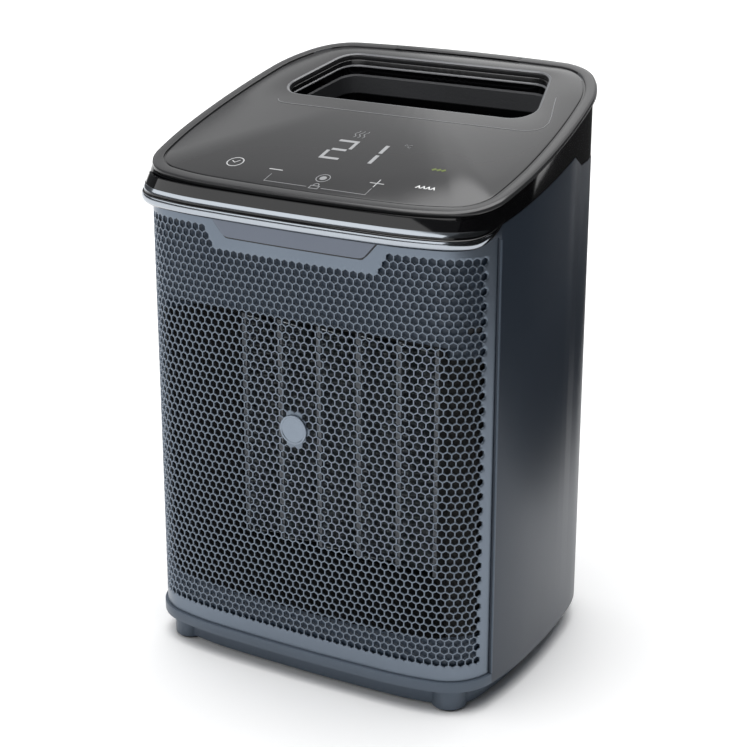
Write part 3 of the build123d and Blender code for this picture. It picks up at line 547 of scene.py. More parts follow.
# ---- modelling helpers -----------------------------------------------------------------------------
class Bench:
    """Modelling steps shared by every sub-assembly."""

    @staticmethod
    def clear() -> None:
        """Deselect everything."""
        bpy.ops.object.select_all(action="DESELECT")

    @staticmethod
    def take(piece: bpy.types.Object) -> bpy.types.Object:
        """Select one piece alone and make it active."""
        Bench.clear()
        piece.select_set(True)
        bpy.context.view_layer.objects.active = piece
        return piece

    @staticmethod
    def named(name: str) -> bpy.types.Object:
        """Name the active piece and its mesh."""
        piece = bpy.context.object
        piece.name = piece.data.name = name
        return piece

    @staticmethod
    def edit(*steps: Callable[[], object]) -> None:
        """Run operators on everything in the active piece, in edit mode."""
        bpy.ops.object.mode_set(mode="EDIT")
        bpy.ops.mesh.select_all(action="SELECT")
        for step in steps:
            step()
        bpy.ops.object.mode_set(mode="OBJECT")

    @staticmethod
    def lattice(name: str, rows: Sequence[Sequence[Vector]], closed_rows: bool,
                closed_ends: bool) -> bpy.types.Object:
        """Shape a grid primitive by moving its points on to rows, and join it up.

        Args:
            name: name of the piece.
            rows: points in metres, as many in each row.
            closed_rows: whether each row runs back to its own start.
            closed_ends: whether the last row joins the first. Otherwise open ends are filled.

        Returns:
            The piece, with its faces pointing outwards.
        """
        grid = [list(row) + ([row[0]] if closed_rows else []) for row in rows]
        if closed_ends:
            grid.append(grid[0])
        Bench.clear()
        bpy.ops.mesh.primitive_grid_add(x_subdivisions=len(grid[0]) - 1,
                                        y_subdivisions=len(grid) - 1, size=1)
        piece = Bench.named(name)
        flat = [value for row in grid for point in row for value in point]
        piece.data.vertices.foreach_set("co", flat)
        steps = [lambda: bpy.ops.mesh.remove_doubles(threshold=1e-7)]
        if closed_rows or closed_ends:
            if closed_rows and not closed_ends:
                steps.append(lambda: bpy.ops.mesh.fill_holes(sides=0))
            steps.append(lambda: bpy.ops.mesh.normals_make_consistent(inside=False))
        Bench.edit(*steps)
        return piece

    @staticmethod
    def modify(piece: bpy.types.Object, kind: str, **settings: object) -> None:
        """Add a modifier with its settings and apply it."""
        Bench.take(piece)
        modifier = piece.modifiers.new(kind.title(), kind)
        for key, value in settings.items():
            setattr(modifier, key, value)
        bpy.ops.object.modifier_apply(modifier=modifier.name)

    @staticmethod
    def soften(piece: bpy.types.Object, radius: float, segments: int = 2,
               angle: float = 35.0) -> None:
        """Round the piece's corners that are sharper than an angle."""
        Bench.modify(piece, "BEVEL", width=radius * MM, segments=segments,
                     limit_method="ANGLE", angle_limit=math.radians(angle),
                     miter_outer="MITER_ARC", use_clamp_overlap=True)

    @staticmethod
    def smooth(piece: bpy.types.Object, angle: float = 30.0) -> None:
        """Shade smoothly across corners flatter than an angle."""
        Bench.take(piece)
        bpy.ops.object.shade_smooth_by_angle(angle=math.radians(angle))

    @staticmethod
    def copy_of(node: str, name: str) -> bpy.types.Object:
        """Copy a CAD node into a new piece with its loose triangles merged.

        Args:
            node: name of the CAD node.
            name: name of the new piece.

        Returns:
            The copy, whose flat faces are whole.
        """
        source = frame["nodes"][node]
        mesh = source.data.copy()
        mesh.materials.clear()
        piece = bpy.data.objects.new(name, mesh)
        bpy.context.scene.collection.objects.link(piece)
        Bench.take(piece)
        if mesh.has_custom_normals:
            bpy.ops.mesh.customdata_custom_splitnormals_clear()
        Bench.edit(lambda: bpy.ops.mesh.remove_doubles(threshold=2e-6),
                   lambda: bpy.ops.mesh.dissolve_limited(angle_limit=math.radians(0.2)))
        return piece

    @staticmethod
    def joined(pieces: Sequence[bpy.types.Object], name: str) -> bpy.types.Object:
        """Join several pieces into one with a new name.

        Args:
            pieces: the pieces, the first of which keeps its place in the scene.
            name: the joined piece's name.

        Returns:
            The joined piece.
        """
        Bench.clear()
        for piece in pieces:
            piece.select_set(True)
        bpy.context.view_layer.objects.active = pieces[0]
        bpy.ops.object.join()
        return Bench.named(name)

    @staticmethod
    def settle(piece: bpy.types.Object) -> None:
        """Put the piece's place into its mesh."""
        Bench.take(piece)
        bpy.ops.object.transform_apply(location=True, rotation=True, scale=True)

    @staticmethod
    def present(piece: bpy.types.Object, finish: Finish, slot: str, body: str = HOUSING,
                stands_for: Sequence[str] = ()) -> bpy.types.Object:
        """Dress a finished piece, tie it to its body and hide the CAD nodes that it replaces.

        Args:
            piece: the finished piece.
            finish: its finish, unless it already has materials.
            slot: the record's material slot; not used.
            body: the CAD body that it moves with.
            stands_for: CAD nodes that it replaces.

        Returns:
            The same piece.
        """
        Bench.settle(piece)
        if not piece.data.materials:
            piece.data.materials.append(finish.material())
        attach(piece, body)
        if stands_for:
            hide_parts(*stands_for)
        log.info("%s: %d faces on %s", piece.name, len(piece.data.polygons), body)
        return piece


def wall_point(place: PlanPoint, out: float, rise: float) -> Vector:
    """A point at a plan place, moved outwards and up, in metres."""
    x, y = place.grown(out)
    return Vector((x, y, rise)) * MM


# ---- front -----------------------------------------------------------------------------------------
@dataclass
class FrontGrille:
    """Perforated steel sheet, bent round the front, with its name plate and badge."""

    pitch: float = 4.0
    row_step: float = 3.4586
    across: float = 3.38
    thickness: float = 1.0
    crown: float = 0.09
    low: float = 17.8
    top_rise: float = 226.8
    top_slope: float = 0.15
    end_back: float = 23.7
    first_row: int = -42
    last_row: int = 14
    row_zero: float = 75.5
    side_reach: float = 95.0
    badge_rise: float = 131.0
    badge_radius: float = 7.2

    def on_sheet(self, length: float, proud: float = 0.0) -> PlanPoint:
        """Point at a length along the sheet's face, standing proud by a distance."""
        found = BODY.along(length, -GRILLE_INSET)
        return PlanPoint(*found.grown(proud), found.nx, found.ny)

    def end_length(self) -> float:
        """Length along the face from the middle to the sheet's side edge.

        Returns:
            The length in millimetres, found by halving.
        """
        low, high = 60.0, 140.0
        for _ in range(40):
            middle = (low + high) / 2
            short = self.on_sheet(middle).y - FRONT_Y < self.end_back
            low, high = (middle, high) if short else (low, middle)
        return low

    def hole_centres(self) -> list[tuple[float, float]]:
        """Middles of the holes: length along the sheet and rise.

        Returns:
            One pair for each hole.
        """
        centres = []
        for row in range(self.first_row, self.last_row + 1):
            rise = self.row_zero - self.row_step * row
            inner = {-42: 50.0, -41: 48.0, -40: 46.0}.get(row, 0.0)
            shift = 0.0 if row % 2 else self.pitch / 2
            for column in range(-25, 26):
                length = column * self.pitch + shift
                clear = math.hypot(length, rise - self.badge_rise) > self.badge_radius + 1.2
                if inner <= abs(length) <= self.side_reach and clear:
                    centres.append((length, rise))
        return centres

    def edge_ring(self) -> list[tuple[float, float]]:
        """Flat outline of the sheet, anticlockwise.

        Returns:
            Pairs of length along the sheet and rise.
        """
        end = self.end_length()
        count = 96
        lengths = [end * (2 * i / count - 1) for i in range(count + 1)]
        top = [(s, self.top_rise + self.top_slope * (self.on_sheet(s).y - FRONT_Y))
               for s in reversed(lengths)]
        bottom = [(s, self.low) for s in lengths]
        side = [(end, self.low + (top[0][1] - self.low) * i / 60) for i in range(1, 60)]
        other = [(-s, z) for s, z in reversed(side)]
        return bottom + side + top + other

    def sheet(self) -> bpy.types.Object:
        """Build the perforated sheet.

        The flat sheet is divided between its outline and its holes, bent round the front, and
        given its thickness, with a small round at the mouth of each hole.

        Returns:
            The sheet.
        """
        ring = self.edge_ring()
        centres = self.hole_centres()
        spokes = [(math.sin(math.radians(60 * k)), math.cos(math.radians(60 * k)))
                  for k in range(6)]
        reach = self.across / math.sqrt(3)
        mouth = reach + self.crown
        flat = list(ring)
        owner = [-1] * len(ring)
        edges = [(i, (i + 1) % len(ring)) for i in range(len(ring))]
        for hole, (s, z) in enumerate(centres):
            base = len(flat)
            flat += [(s + mouth * dx, z + mouth * dz) for dx, dz in spokes]
            owner += [hole] * 6
            edges += [(base + k, base + (k + 1) % 6) for k in range(6)]
        loose = self.loose_points(ring, centres)
        flat += loose
        owner += [-1] * len(loose)
        points, _, faces, origins, _, _ = delaunay_2d_cdt(
            [Vector(p) for p in flat], edges, [], 0, 1e-5)
        back_to = [o[0] if o else -1 for o in origins]
        kept = []
        for face in faces:
            owners = {owner[back_to[v]] for v in face}
            middle = sum((points[v] for v in face), Vector((0, 0))) / len(face)
            lid = self.top_rise + self.top_slope * (self.on_sheet(middle.x).y - FRONT_Y)
            if (len(owners) > 1 or owners == {-1}) and middle.y < lid:
                kept.append(face)
        count = len(points)
        number = {origin: v for v, origin in enumerate(back_to)}
        verts = [self.bent(p.x, p.y, 0.0) for p in points]
        throats = [(s + reach * dx, z + reach * dz) for s, z in centres for dx, dz in spokes]
        verts += [self.bent(s, z, self.crown) for s, z in throats]
        rear = len(verts)
        verts += [self.bent(s, z, self.thickness) for s, z in ring]
        verts += [self.bent(s, z, self.thickness) for s, z in throats + loose]
        polygons = []
        rings = len(ring)

        def behind(v: int) -> int:
            """Number of the rear point behind a front point."""
            return rear + back_to[v]

        for face in kept:
            polygons.append(tuple(face))
            polygons.append(tuple(behind(v) for v in reversed(face)))
        for i in range(rings):
            j = (i + 1) % rings
            polygons.append((number[j], number[i], rear + i, rear + j))
        for hole in range(len(centres)):
            for k in range(6):
                a, b = rings + hole * 6 + k, rings + hole * 6 + (k + 1) % 6
                throat_a, throat_b = count + a - rings, count + b - rings
                polygons.append((number[a], number[b], throat_b, throat_a))
                polygons.append((throat_a, throat_b, rear + b, rear + a))
        mesh = bpy.data.meshes.new("grille_sheet")
        mesh.from_pydata(verts, [], polygons)
        piece = bpy.data.objects.new("grille_sheet", mesh)
        bpy.context.scene.collection.objects.link(piece)
        Bench.take(piece)
        Bench.edit(lambda: bpy.ops.mesh.normals_make_consistent(inside=False))
        Bench.smooth(piece, 50.0)
        return piece

    def loose_points(self, ring: list, centres: list) -> list[tuple[float, float]]:
        """Points on the plain parts of the sheet, so that they bend evenly.

        Args:
            ring: the sheet's flat outline.
            centres: the middles of its holes.

        Returns:
            Pairs of length along the sheet and rise.
        """
        taken = KDTree(len(ring) + len(centres))
        for index, (s, z) in enumerate(ring + centres):
            taken.insert((s, z, 0.0 if index < len(ring) else 1.6), index)
        taken.balance()
        end = self.end_length()
        found = []
        for i in range(1, int(2 * end / 1.5)):
            s = -end + i * 1.5
            lid = self.top_rise + self.top_slope * (self.on_sheet(s).y - FRONT_Y)
            for j in range(1, int((lid - self.low) / 1.5)):
                z = self.low + j * 1.5
                if taken.find((s, z, 0.0))[2] > 3.0 or self.clear(taken, s, z, len(ring)):
                    found.append((s, z))
        return found

    @staticmethod
    def clear(taken: KDTree, s: float, z: float, edge_count: int) -> bool:
        """Whether a place stays clear of the sheet's edge and of every hole."""
        near = taken.find_range((s, z, 0.0), 3.0)
        return all(math.hypot(co[0] - s, co[1] - z) > (0.9 if index < edge_count else 2.5)
                   for co, index, _ in near)

    def bent(self, length: float, rise: float, depth: float) -> Vector:
        """A flat sheet's point on the bent sheet, that deep behind its face."""
        return wall_point(self.on_sheet(length), -depth, rise)

    def plate(self, name: str, grow: float, proud: float, thickness: float) -> bpy.types.Object:
        """Build a plate of the name plate's shape that follows the sheet.

        Args:
            name: name of the piece.
            grow: how far the shape is grown.
            proud: height of its face over the grille's.
            thickness: its thickness.

        Returns:
            The plate.
        """
        steps = [(218.5, 34.6), (218.75, 36.0), (219.2, 37.2), (219.8, 38.0), (222.0, 40.0),
                 (224.0, 41.7), (226.0, 43.4), (227.4, 44.6)]
        rows = []
        for rise, half in steps:
            rise = rise - grow if rise < 219 else rise
            row = []
            for i in range(41):
                s = (half + grow) * (i / 20 - 1)
                row.append(wall_point(self.on_sheet(s), proud, rise))
            rows.append(row)
        piece = Bench.lattice(name, rows, False, False)
        Bench.edit(lambda: bpy.ops.mesh.normals_make_consistent(inside=False))
        if piece.data.polygons[0].normal.y > 0:
            Bench.edit(lambda: bpy.ops.mesh.flip_normals())
        Bench.modify(piece, "SOLIDIFY", thickness=thickness * MM, offset=-1.0)
        Bench.soften(piece, 0.22, 2, 50.0)
        Bench.smooth(piece, 40.0)
        return piece

    def badge(self) -> bpy.types.Object:
        """Turned badge: a dished face inside a raised ring, and its stem.

        Returns:
            The badge, on the front of the sheet.
        """
        Bench.clear()
        bpy.ops.mesh.primitive_circle_add(vertices=64, radius=self.badge_radius * MM,
                                          fill_type="NGON", location=(0, 0, 0))
        piece = Bench.named("front_badge")
        Bench.edit(
            lambda: bpy.ops.mesh.extrude_region_move(
                TRANSFORM_OT_translate={"value": (0, 0, 1.1 * MM)}),
            lambda: bpy.ops.mesh.inset(thickness=0.8 * MM),
            lambda: bpy.ops.mesh.inset(thickness=0.35 * MM, depth=-0.3 * MM),
            lambda: bpy.ops.mesh.inset(thickness=1.2 * MM),
            lambda: bpy.ops.mesh.inset(thickness=2.4 * MM, depth=-0.08 * MM),
        )
        Bench.edit(lambda: bpy.ops.mesh.fill_holes(sides=0),
                   lambda: bpy.ops.mesh.normals_make_consistent(inside=False))
        Bench.soften(piece, 0.18, 2, 30.0)
        piece.rotation_euler = (math.radians(90), 0, 0)
        piece.location = Vector((0, FRONT_Y - 0.08, self.badge_rise)) * MM
        Bench.settle(piece)
        Bench.smooth(piece, 30.0)
        return piece

    def build(self) -> None:
        """Build and dress the front's pieces."""
        Bench.present(self.sheet(), COATED_STEEL, "grille_metal", stands_for=["front_grille"])
        Bench.present(self.plate("name_plate_seat", 0.75, 0.06, 0.1), BLACK_ABS, "black_plastic")
        Bench.present(self.plate("blank_name_plate", 0.0, 0.75, 0.6), PLATE_STEEL, "plate_metal",
                      stands_for=["name_plate"])
        Bench.present(self.badge(), BADGE_STEEL, "plate_metal", stands_for=["round_badge"])


@dataclass
class FrontLip:
    """Flared gloss lip over the grille, with a groove and two bright chrome strips laid where its
    highlight bands fall: painted highlight.
    """

    reach: float = 5.5
    side_reach: float = 1.8
    end: float = 3.02
    tuck: float = 0.62
    section: tuple[tuple[float, float], ...] = (
        (-0.6, 227.6), (1.2, 226.9), (2.7, 226.7), (4.1, 227.1), (5.0, 228.0), (5.4, 229.2),
        (5.4, 230.4), (5.1, 231.5), (4.7, 232.1), (4.35, 232.25), (4.25, 232.6), (4.35, 233.0),
        (4.15, 233.7), (3.6, 234.8), (2.7, 236.5), (1.8, 238.2), (0.9, 239.8), (-0.4, 239.8),
        (0.4, 236.5), (1.6, 234.0), (1.9, 231.0), (0.6, 229.5),
    )
    nose: tuple[tuple[float, float], ...] = (
        (4.2, 227.5), (5.0, 227.85), (5.5, 228.7), (5.68, 229.7), (5.62, 230.7), (5.3, 231.5),
        (4.75, 231.7), (4.2, 230.0),
    )
    bead: tuple[tuple[float, float], ...] = (
        (4.2, 233.05), (4.55, 233.15), (4.45, 233.7), (4.1, 234.5), (3.65, 235.3),
        (3.3, 235.3), (3.4, 234.2),
    )

    def outline(self, out: float) -> PlanOutline:
        """Plan of the lip at one reach, which grows less at the sides than in front."""
        return PlanOutline(190.4 + 2 * self.side_reach * out / self.reach,
                           165.0 + out - GRILLE_INSET, FRONT_Y - out, 25.9, 70.0, 36.0)

    def share(self, place: float) -> float:
        """How much of the lip's reach is left at a place, as it tucks in at its ends."""
        left = max(0.0, min(1.0, (self.end - abs(place)) / self.tuck))
        return 0.12 + 0.88 * math.sin(left * math.pi / 2)

    def sweep(self, name: str, section: Sequence[tuple[float, float]], end: float,
              taper: float) -> bpy.types.Object:
        """Sweep a closed section along the front.

        Args:
            name: name of the piece.
            section: distance out from the grille's face, and rise, of its corners.
            end: place where the sweep stops, on both sides.
            taper: length of place over which the section closes at each end, or 0.

        Returns:
            The swept piece.
        """
        outlines = [self.outline(out) for out, _ in section]
        hem = self.outline(0.2)
        rows = []
        for place in BODY.places(-end, end):
            reach = self.share(place)
            foot = hem.at(place)
            back = foot.y - FRONT_Y
            core = wall_point(foot, 0.0, 231.0 + 0.3 * back)
            row = []
            for outline, (_, rise) in zip(outlines, section):
                point = wall_point(outline.at(place), 0.0, rise + 0.05 * back)
                row.append(core.lerp(point, reach))
            heart = sum(row, Vector()) / len(row)
            left = (end - abs(place)) / taper if taper else 1.0
            close = math.sqrt(max(0.0004, 1 - (1 - min(1.0, left)) ** 2))
            rows.append([heart.lerp(point, close) for point in row])
        piece = Bench.lattice(name, rows, True, False)
        Bench.smooth(piece, 40.0)
        return piece

    def build(self) -> None:
        """Build and dress the lip and its painted highlight strips."""
        Bench.present(self.sweep("gloss_lip", self.section, self.end, 0.1), PIANO_ABS,
                      "lip_gloss", stands_for=["front_lip"])
        Bench.present(self.sweep("lip_nose_highlight_strip", self.nose, self.end - 0.16, 0.25),
                      LIP_HIGHLIGHT_CHROME, "lip_gloss")
        Bench.present(self.sweep("lip_bead_highlight_strip", self.bead, self.end - 0.3, 0.25),
                      LIP_HIGHLIGHT_CHROME, "lip_gloss")


@dataclass
class TouchPanel:
    """Smoked panel with a rolled rim, a groove inside it and the handle opening."""

    thickness: float = 2.6
    grip_half: float = 35.5
    rim: tuple[tuple[float, float], ...] = (
        (6.2, 2.6), (0.6, 2.6), (0.1, 2.3), (0.0, 1.5), (0.35, 0.6), (1.1, 0.14), (2.0, 0.0),
        (5.2, 0.0), (5.55, 0.1), (5.75, 0.6),
    )
    groove: tuple[tuple[float, float], ...] = ((5.8, 0.9), (6.55, 0.9), (6.65, 0.5), (7.1, 0.25))
    mouth: tuple[tuple[float, float], ...] = (
        (1.6, 0.25), (0.9, 0.34), (0.35, 0.7), (0.1, 1.3), (0.05, 2.6), (3.0, 2.6),
    )

    def places(self) -> list[float]:
        """Places round the outline, with a close pair at each end of the grip insert.

        Returns:
            Steps along the panel's outline, in order.
        """
        outline = PANEL.outline
        count = len(outline.steps)
        ends = []
        for half in (self.grip_half - 0.15, self.grip_half + 0.25):
            ends.append(outline.place_where(lambda p, h=half: h - p.x, count - 1.0, count - 1e-6))
        half_places = sorted(outline.places(0.0, float(count)) + ends)
        return half_places + [-p for p in reversed(half_places[1:-1])]

    def rim_row(self, places: Sequence[float], inset: float, drop: float) -> list[Vector]:
        """One ring of the rim, that far inside the outline and below the face.

        Args:
            places: steps along the panel's outline.
            inset: distance inside the outline.
            drop: distance below the face.

        Returns:
            The ring's points, in metres.
        """
        outline = PANEL.outline
        row = []
        for place in places:
            point = outline.at(place)
            at_grip = abs(place) > 6 and abs(point.x) < self.grip_half + 0.1
            by = max(inset, 5.8) if at_grip else inset
            x, up = point.grown(-by)
            row.append(PANEL.point(x, up, drop))
        return row

    def glass(self) -> bpy.types.Object:
        """Build the panel as rings from its underside, over its rim, and into the opening.

        Returns:
            The panel, with its own finishes.
        """
        places = self.places()
        outline = PANEL.outline
        towards = [(p.x, PANEL.front_back + p.y * PANEL.cosine)
                   for p in (outline.at(place) for place in places)]
        rows = [self.rim_row(places, inset, drop) for inset, drop in self.rim + self.groove]
        for grow, drop in self.mouth:
            ring = OPENING.matched(grow, towards)
            rows.append([PANEL.over(x, back, drop) for x, back in ring])
        piece = Bench.lattice("smoked_touch_panel", rows, True, True)
        for finish in (SMOKED_ACRYLIC, EDGE_GLINT):
            piece.data.materials.append(finish.material())
        # Faces round the mouth of the opening take the lighter edge grey: a painted highlight.
        for face in piece.data.polygons:
            middle = face.center / MM
            back = middle.y - FRONT_Y
            at_mouth = abs(middle.x) < 76 and 94 < back < 149
            if at_mouth and 0.3 < PANEL.top(back) - middle.z < 0.8:
                face.material_index = 1
        Bench.smooth(piece, 30.0)
        return piece

    def grip(self) -> bpy.types.Object:
        """Build the strip let into the rear of the rim.

        Returns:
            The strip.
        """
        outline = PANEL.outline
        count = len(outline.steps)
        end = outline.place_where(lambda p: self.grip_half - 0.1 - p.x, count - 1.0, count - 1e-6)
        half = outline.places(end, float(count))
        rows = []
        for place in half + [-p for p in reversed(half[:-1])]:
            point = outline.at(place)
            rows.append([PANEL.point(*point.grown(-inset), drop)
                         for inset, drop in self.rim[1:-1] + ((5.6, 0.6), (5.6, 2.6))])
        piece = Bench.lattice("rear_grip_insert", rows, True, False)
        Bench.soften(piece, 0.2, 2, 50.0)
        Bench.smooth(piece, 30.0)
        return piece

    def build(self) -> None:
        """Build and dress the panel and the grip."""
        Bench.present(self.glass(), SMOKED_ACRYLIC, "smoked_panel", stands_for=["touch_panel"])
        Bench.present(self.grip(), SMOKED_EDGE, "gloss_black", stands_for=["grip_insert"])


@dataclass
class HandlePocket:
    """Finger pocket: a smoked collar edged by a painted highlight ring, gloss walls with a grained
    band, and a round floor.
    """

    floor: float = 226.0
    wall: float = 2.0
    collar: float = 3.0
    grip_top: float = 8.0
    grip_foot: float = 16.5
    count: int = 160

    def rings(self) -> list[tuple[float, Callable[[float], float]]]:
        """Growth, and height at a distance back, of each ring from outside in.

        Returns:
            One pair for each ring of the pocket's wall.
        """
        def below(drop: float) -> Callable[[float], float]:
            """Height that far under the panel's underside."""
            return lambda back: PANEL.top(back) - 2.95 - drop

        def flat(rise: float) -> Callable[[float], float]:
            """The same height everywhere."""
            return lambda back: rise

        low = self.floor
        return [
            (self.wall, flat(low - 2.0)), (self.wall, below(0.0)), (0.3, below(0.0)),
            (0.0, below(0.2)), (0.0, below(self.collar - 0.5)),
            (-0.6, below(self.collar - 0.2)), (-0.7, below(self.collar + 0.2)),
            (-0.1, below(self.collar + 0.5)), (-0.1, below(self.grip_top - 0.7)),
            (-0.9, below(self.grip_top)), (-0.9, below(self.grip_foot)),
            (-0.2, below(self.grip_foot + 0.8)), (-0.2, flat(low + 7.0)),
            (-1.0, flat(low + 3.0)), (-3.0, flat(low + 0.9)), (-6.5, flat(low)),
        ]

    def build(self) -> None:
        """Build the pocket as rings and dress its bands."""
        spread = [(math.cos(2 * math.pi * k / self.count) * 100,
                   OPENING.middle_back + math.sin(2 * math.pi * k / self.count) * 100)
                  for k in range(self.count)]
        rows = []
        for grow, height in self.rings():
            ring = OPENING.matched(grow, spread)
            rows.append([Vector((x, FRONT_Y + back, height(back))) * MM for x, back in ring])
        piece = Bench.lattice("handle_pocket_bowl", rows, True, False)
        for finish in (SMOKED_EDGE, PIANO_ABS, GRAINED_ABS, EDGE_GLINT):
            piece.data.materials.append(finish.material())
        for face in piece.data.polygons:
            middle = face.center / MM
            drop = PANEL.top(middle.y - FRONT_Y) - 2.95 - middle.z
            if drop < self.collar - 0.45:
                face.material_index = 0
            # The thin ring just below the collar takes the lighter edge grey: a painted highlight.
            elif drop < self.collar + 0.45:
                face.material_index = 3
            elif self.grip_top - 0.5 < drop < self.grip_foot + 0.6 and middle.z > self.floor + 6:
                face.material_index = 2
            else:
                face.material_index = 1
        Bench.smooth(piece, 35.0)
        Bench.present(piece, PIANO_ABS, "gloss_black", stands_for=["handle_pocket"])


@dataclass
class PanelMarks:
    """Printed symbols and lit digits of the touch panel, and a painted highlight line round the
    handle opening.
    """

    depth: float = 0.15

    def ribbon(self, points: Sequence[tuple[float, float]], width: float,
               closed: bool = False) -> bpy.types.Object:
        """Build a flat line with mitred corners on the panel.

        Args:
            points: across and back of the line's corners.
            width: width of the line.
            closed: whether it runs back to its start.

        Returns:
            The line, as a thin solid strip.
        """
        path = [Vector(p) for p in points]
        count = len(path)
        rows = []
        for i, here in enumerate(path):
            before = path[i - 1] if i or closed else None
            after = path[(i + 1) % count] if i < count - 1 or closed else None
            ways = [(here - before).normalized()] if before is not None else []
            ways += [(after - here).normalized()] if after is not None else []
            way = sum(ways, Vector((0, 0))).normalized()
            across = Vector((way.y, -way.x))
            stretch = width / 2 / max(0.35, across.dot(Vector((ways[0].y, -ways[0].x))))
            left, right = here - across * stretch, here + across * stretch
            rows.append([PANEL.over(*left, self.depth), PANEL.over(*right, self.depth)])
        if closed:
            rows.append(rows[0])
        piece = Bench.lattice("panel_line", rows, False, False)
        if sum(face.normal.z for face in piece.data.polygons) < 0:
            Bench.edit(lambda: bpy.ops.mesh.flip_normals())
        Bench.modify(piece, "SOLIDIFY", thickness=0.06 * MM, offset=-1.0)
        return piece

    def ring(self, x: float, back: float, radius: float, width: float) -> bpy.types.Object:
        """Build a flat ring."""
        turn = [2 * math.pi * k / 40 for k in range(40)]
        return self.ribbon([(x + radius * math.cos(t), back + radius * math.sin(t))
                            for t in turn], width, True)

    def group(self, name: str, lines: Sequence[bpy.types.Object], finish: Finish) -> None:
        """Join lines into one printed piece and dress it."""
        Bench.present(Bench.joined(lines, name), finish, "smoked_panel")

    def build(self) -> None:
        """Build and dress every mark."""
        line = self.ribbon
        soft = [self.ring(-47.3, 25.8, 4.0, 0.5),
                line([(-49.4, 26.6), (-47.4, 25.2), (-45.7, 27.6)], 0.45),
                line([(-27.1, 24.0), (-19.9, 24.0)], 0.6),
                line([(26.7, 24.0), (33.9, 24.0)], 0.45), line([(30.3, 20.5), (30.3, 27.5)], 0.45)]
        self.group("setting_symbols", soft, SOFT_INK)
        bright = [line([(49.4 + 2.5 * k, 24.9), (50.4 + 2.5 * k, 26.9), (51.4 + 2.5 * k, 24.9)],
                        0.55) for k in range(4)]
        self.group("mode_symbol", bright, WHITE_INK)
        faint = [line([(-23.3, 20.0), (-23.3, 13.3), (-0.4, 13.3)], 0.32),
                 line([(7.3, 13.3), (30.3, 13.3), (30.3, 19.2)], 0.32),
                 self.ring(3.2, 22.1, 3.3, 0.4), self.ring(3.2, 22.1, 0.95, 1.5),
                 line([(1.3, 12.4), (5.7, 12.4), (5.7, 14.8), (1.3, 14.8)], 0.4, True),
                 line([(2.2, 15.0), (2.3, 16.2), (3.0, 16.9), (4.0, 16.9), (4.7, 16.2),
                       (4.8, 15.0)], 0.4)]
        self.group("hold_symbols", faint, GREY_INK)
        waves = [line([(x + 0.7 * math.sin(k * 0.8), 61.5 + k * 0.6) for k in range(12)], 0.5)
                 for x in (-4.6, -2.2, 0.2)]
        waves += [self.ring(25.0, 60.2, 0.55, 0.3),
                  line([(28.3, 60.4), (27.4, 60.7), (26.5, 60.2), (26.3, 59.3), (26.8, 58.4),
                        (27.6, 58.1), (28.4, 58.5)], 0.3)]
        self.group("warmth_symbols", waves, FAINT_INK)
        digits = [line([(-9.3, 57.3), (0.5, 57.3), (0.5, 50.1)], 1.8),
                  line([(-8.3, 48.7), (-0.6, 48.7)], 1.8),
                  line([(-9.4, 47.4), (-9.4, 40.3), (0.2, 40.3)], 1.8),
                  line([(16.8, 57.6), (16.8, 49.9)], 2.0), line([(16.8, 48.0), (16.8, 39.9)], 2.0)]
        self.group("digit_windows", digits, LAMP)
        greens = [line([(48.6 + 2.4 * k, 41.7), (50.2 + 2.4 * k, 43.0)], 1.5) for k in range(3)]
        self.group("saving_symbol", greens, GREEN_INK)
        # A thin faint line round the front and right of the handle opening: a painted highlight of
        # the opening's edge.
        hook = [(-64.6, 89.6), (-63.6, 88.0), (-61.6, 86.9), (-58.6, 86.4)]
        run = [(x, 86.4) for x in range(-50, 71, 10)]
        turn = [(74.0, 87.0), (77.4, 88.8), (79.7, 92.0), (80.0, 96.5), (78.2, 103.0),
                (74.6, 113.0), (71.6, 122.0)]
        self.group("painted_mouth_highlight", [line(hook + run + turn, 0.4)], FAINT_INK)


@dataclass
class TopHousing:
    """Piano-gloss housing under the panel, shaded smooth."""

    def build(self) -> None:
        """Carry the housing over, shaded smooth across its flatter corners."""
        piece = Bench.copy_of("top_housing", "gloss_housing")
        Bench.smooth(piece, 30.0)
        Bench.present(piece, PIANO_ABS, "gloss_black", stands_for=["top_housing"])


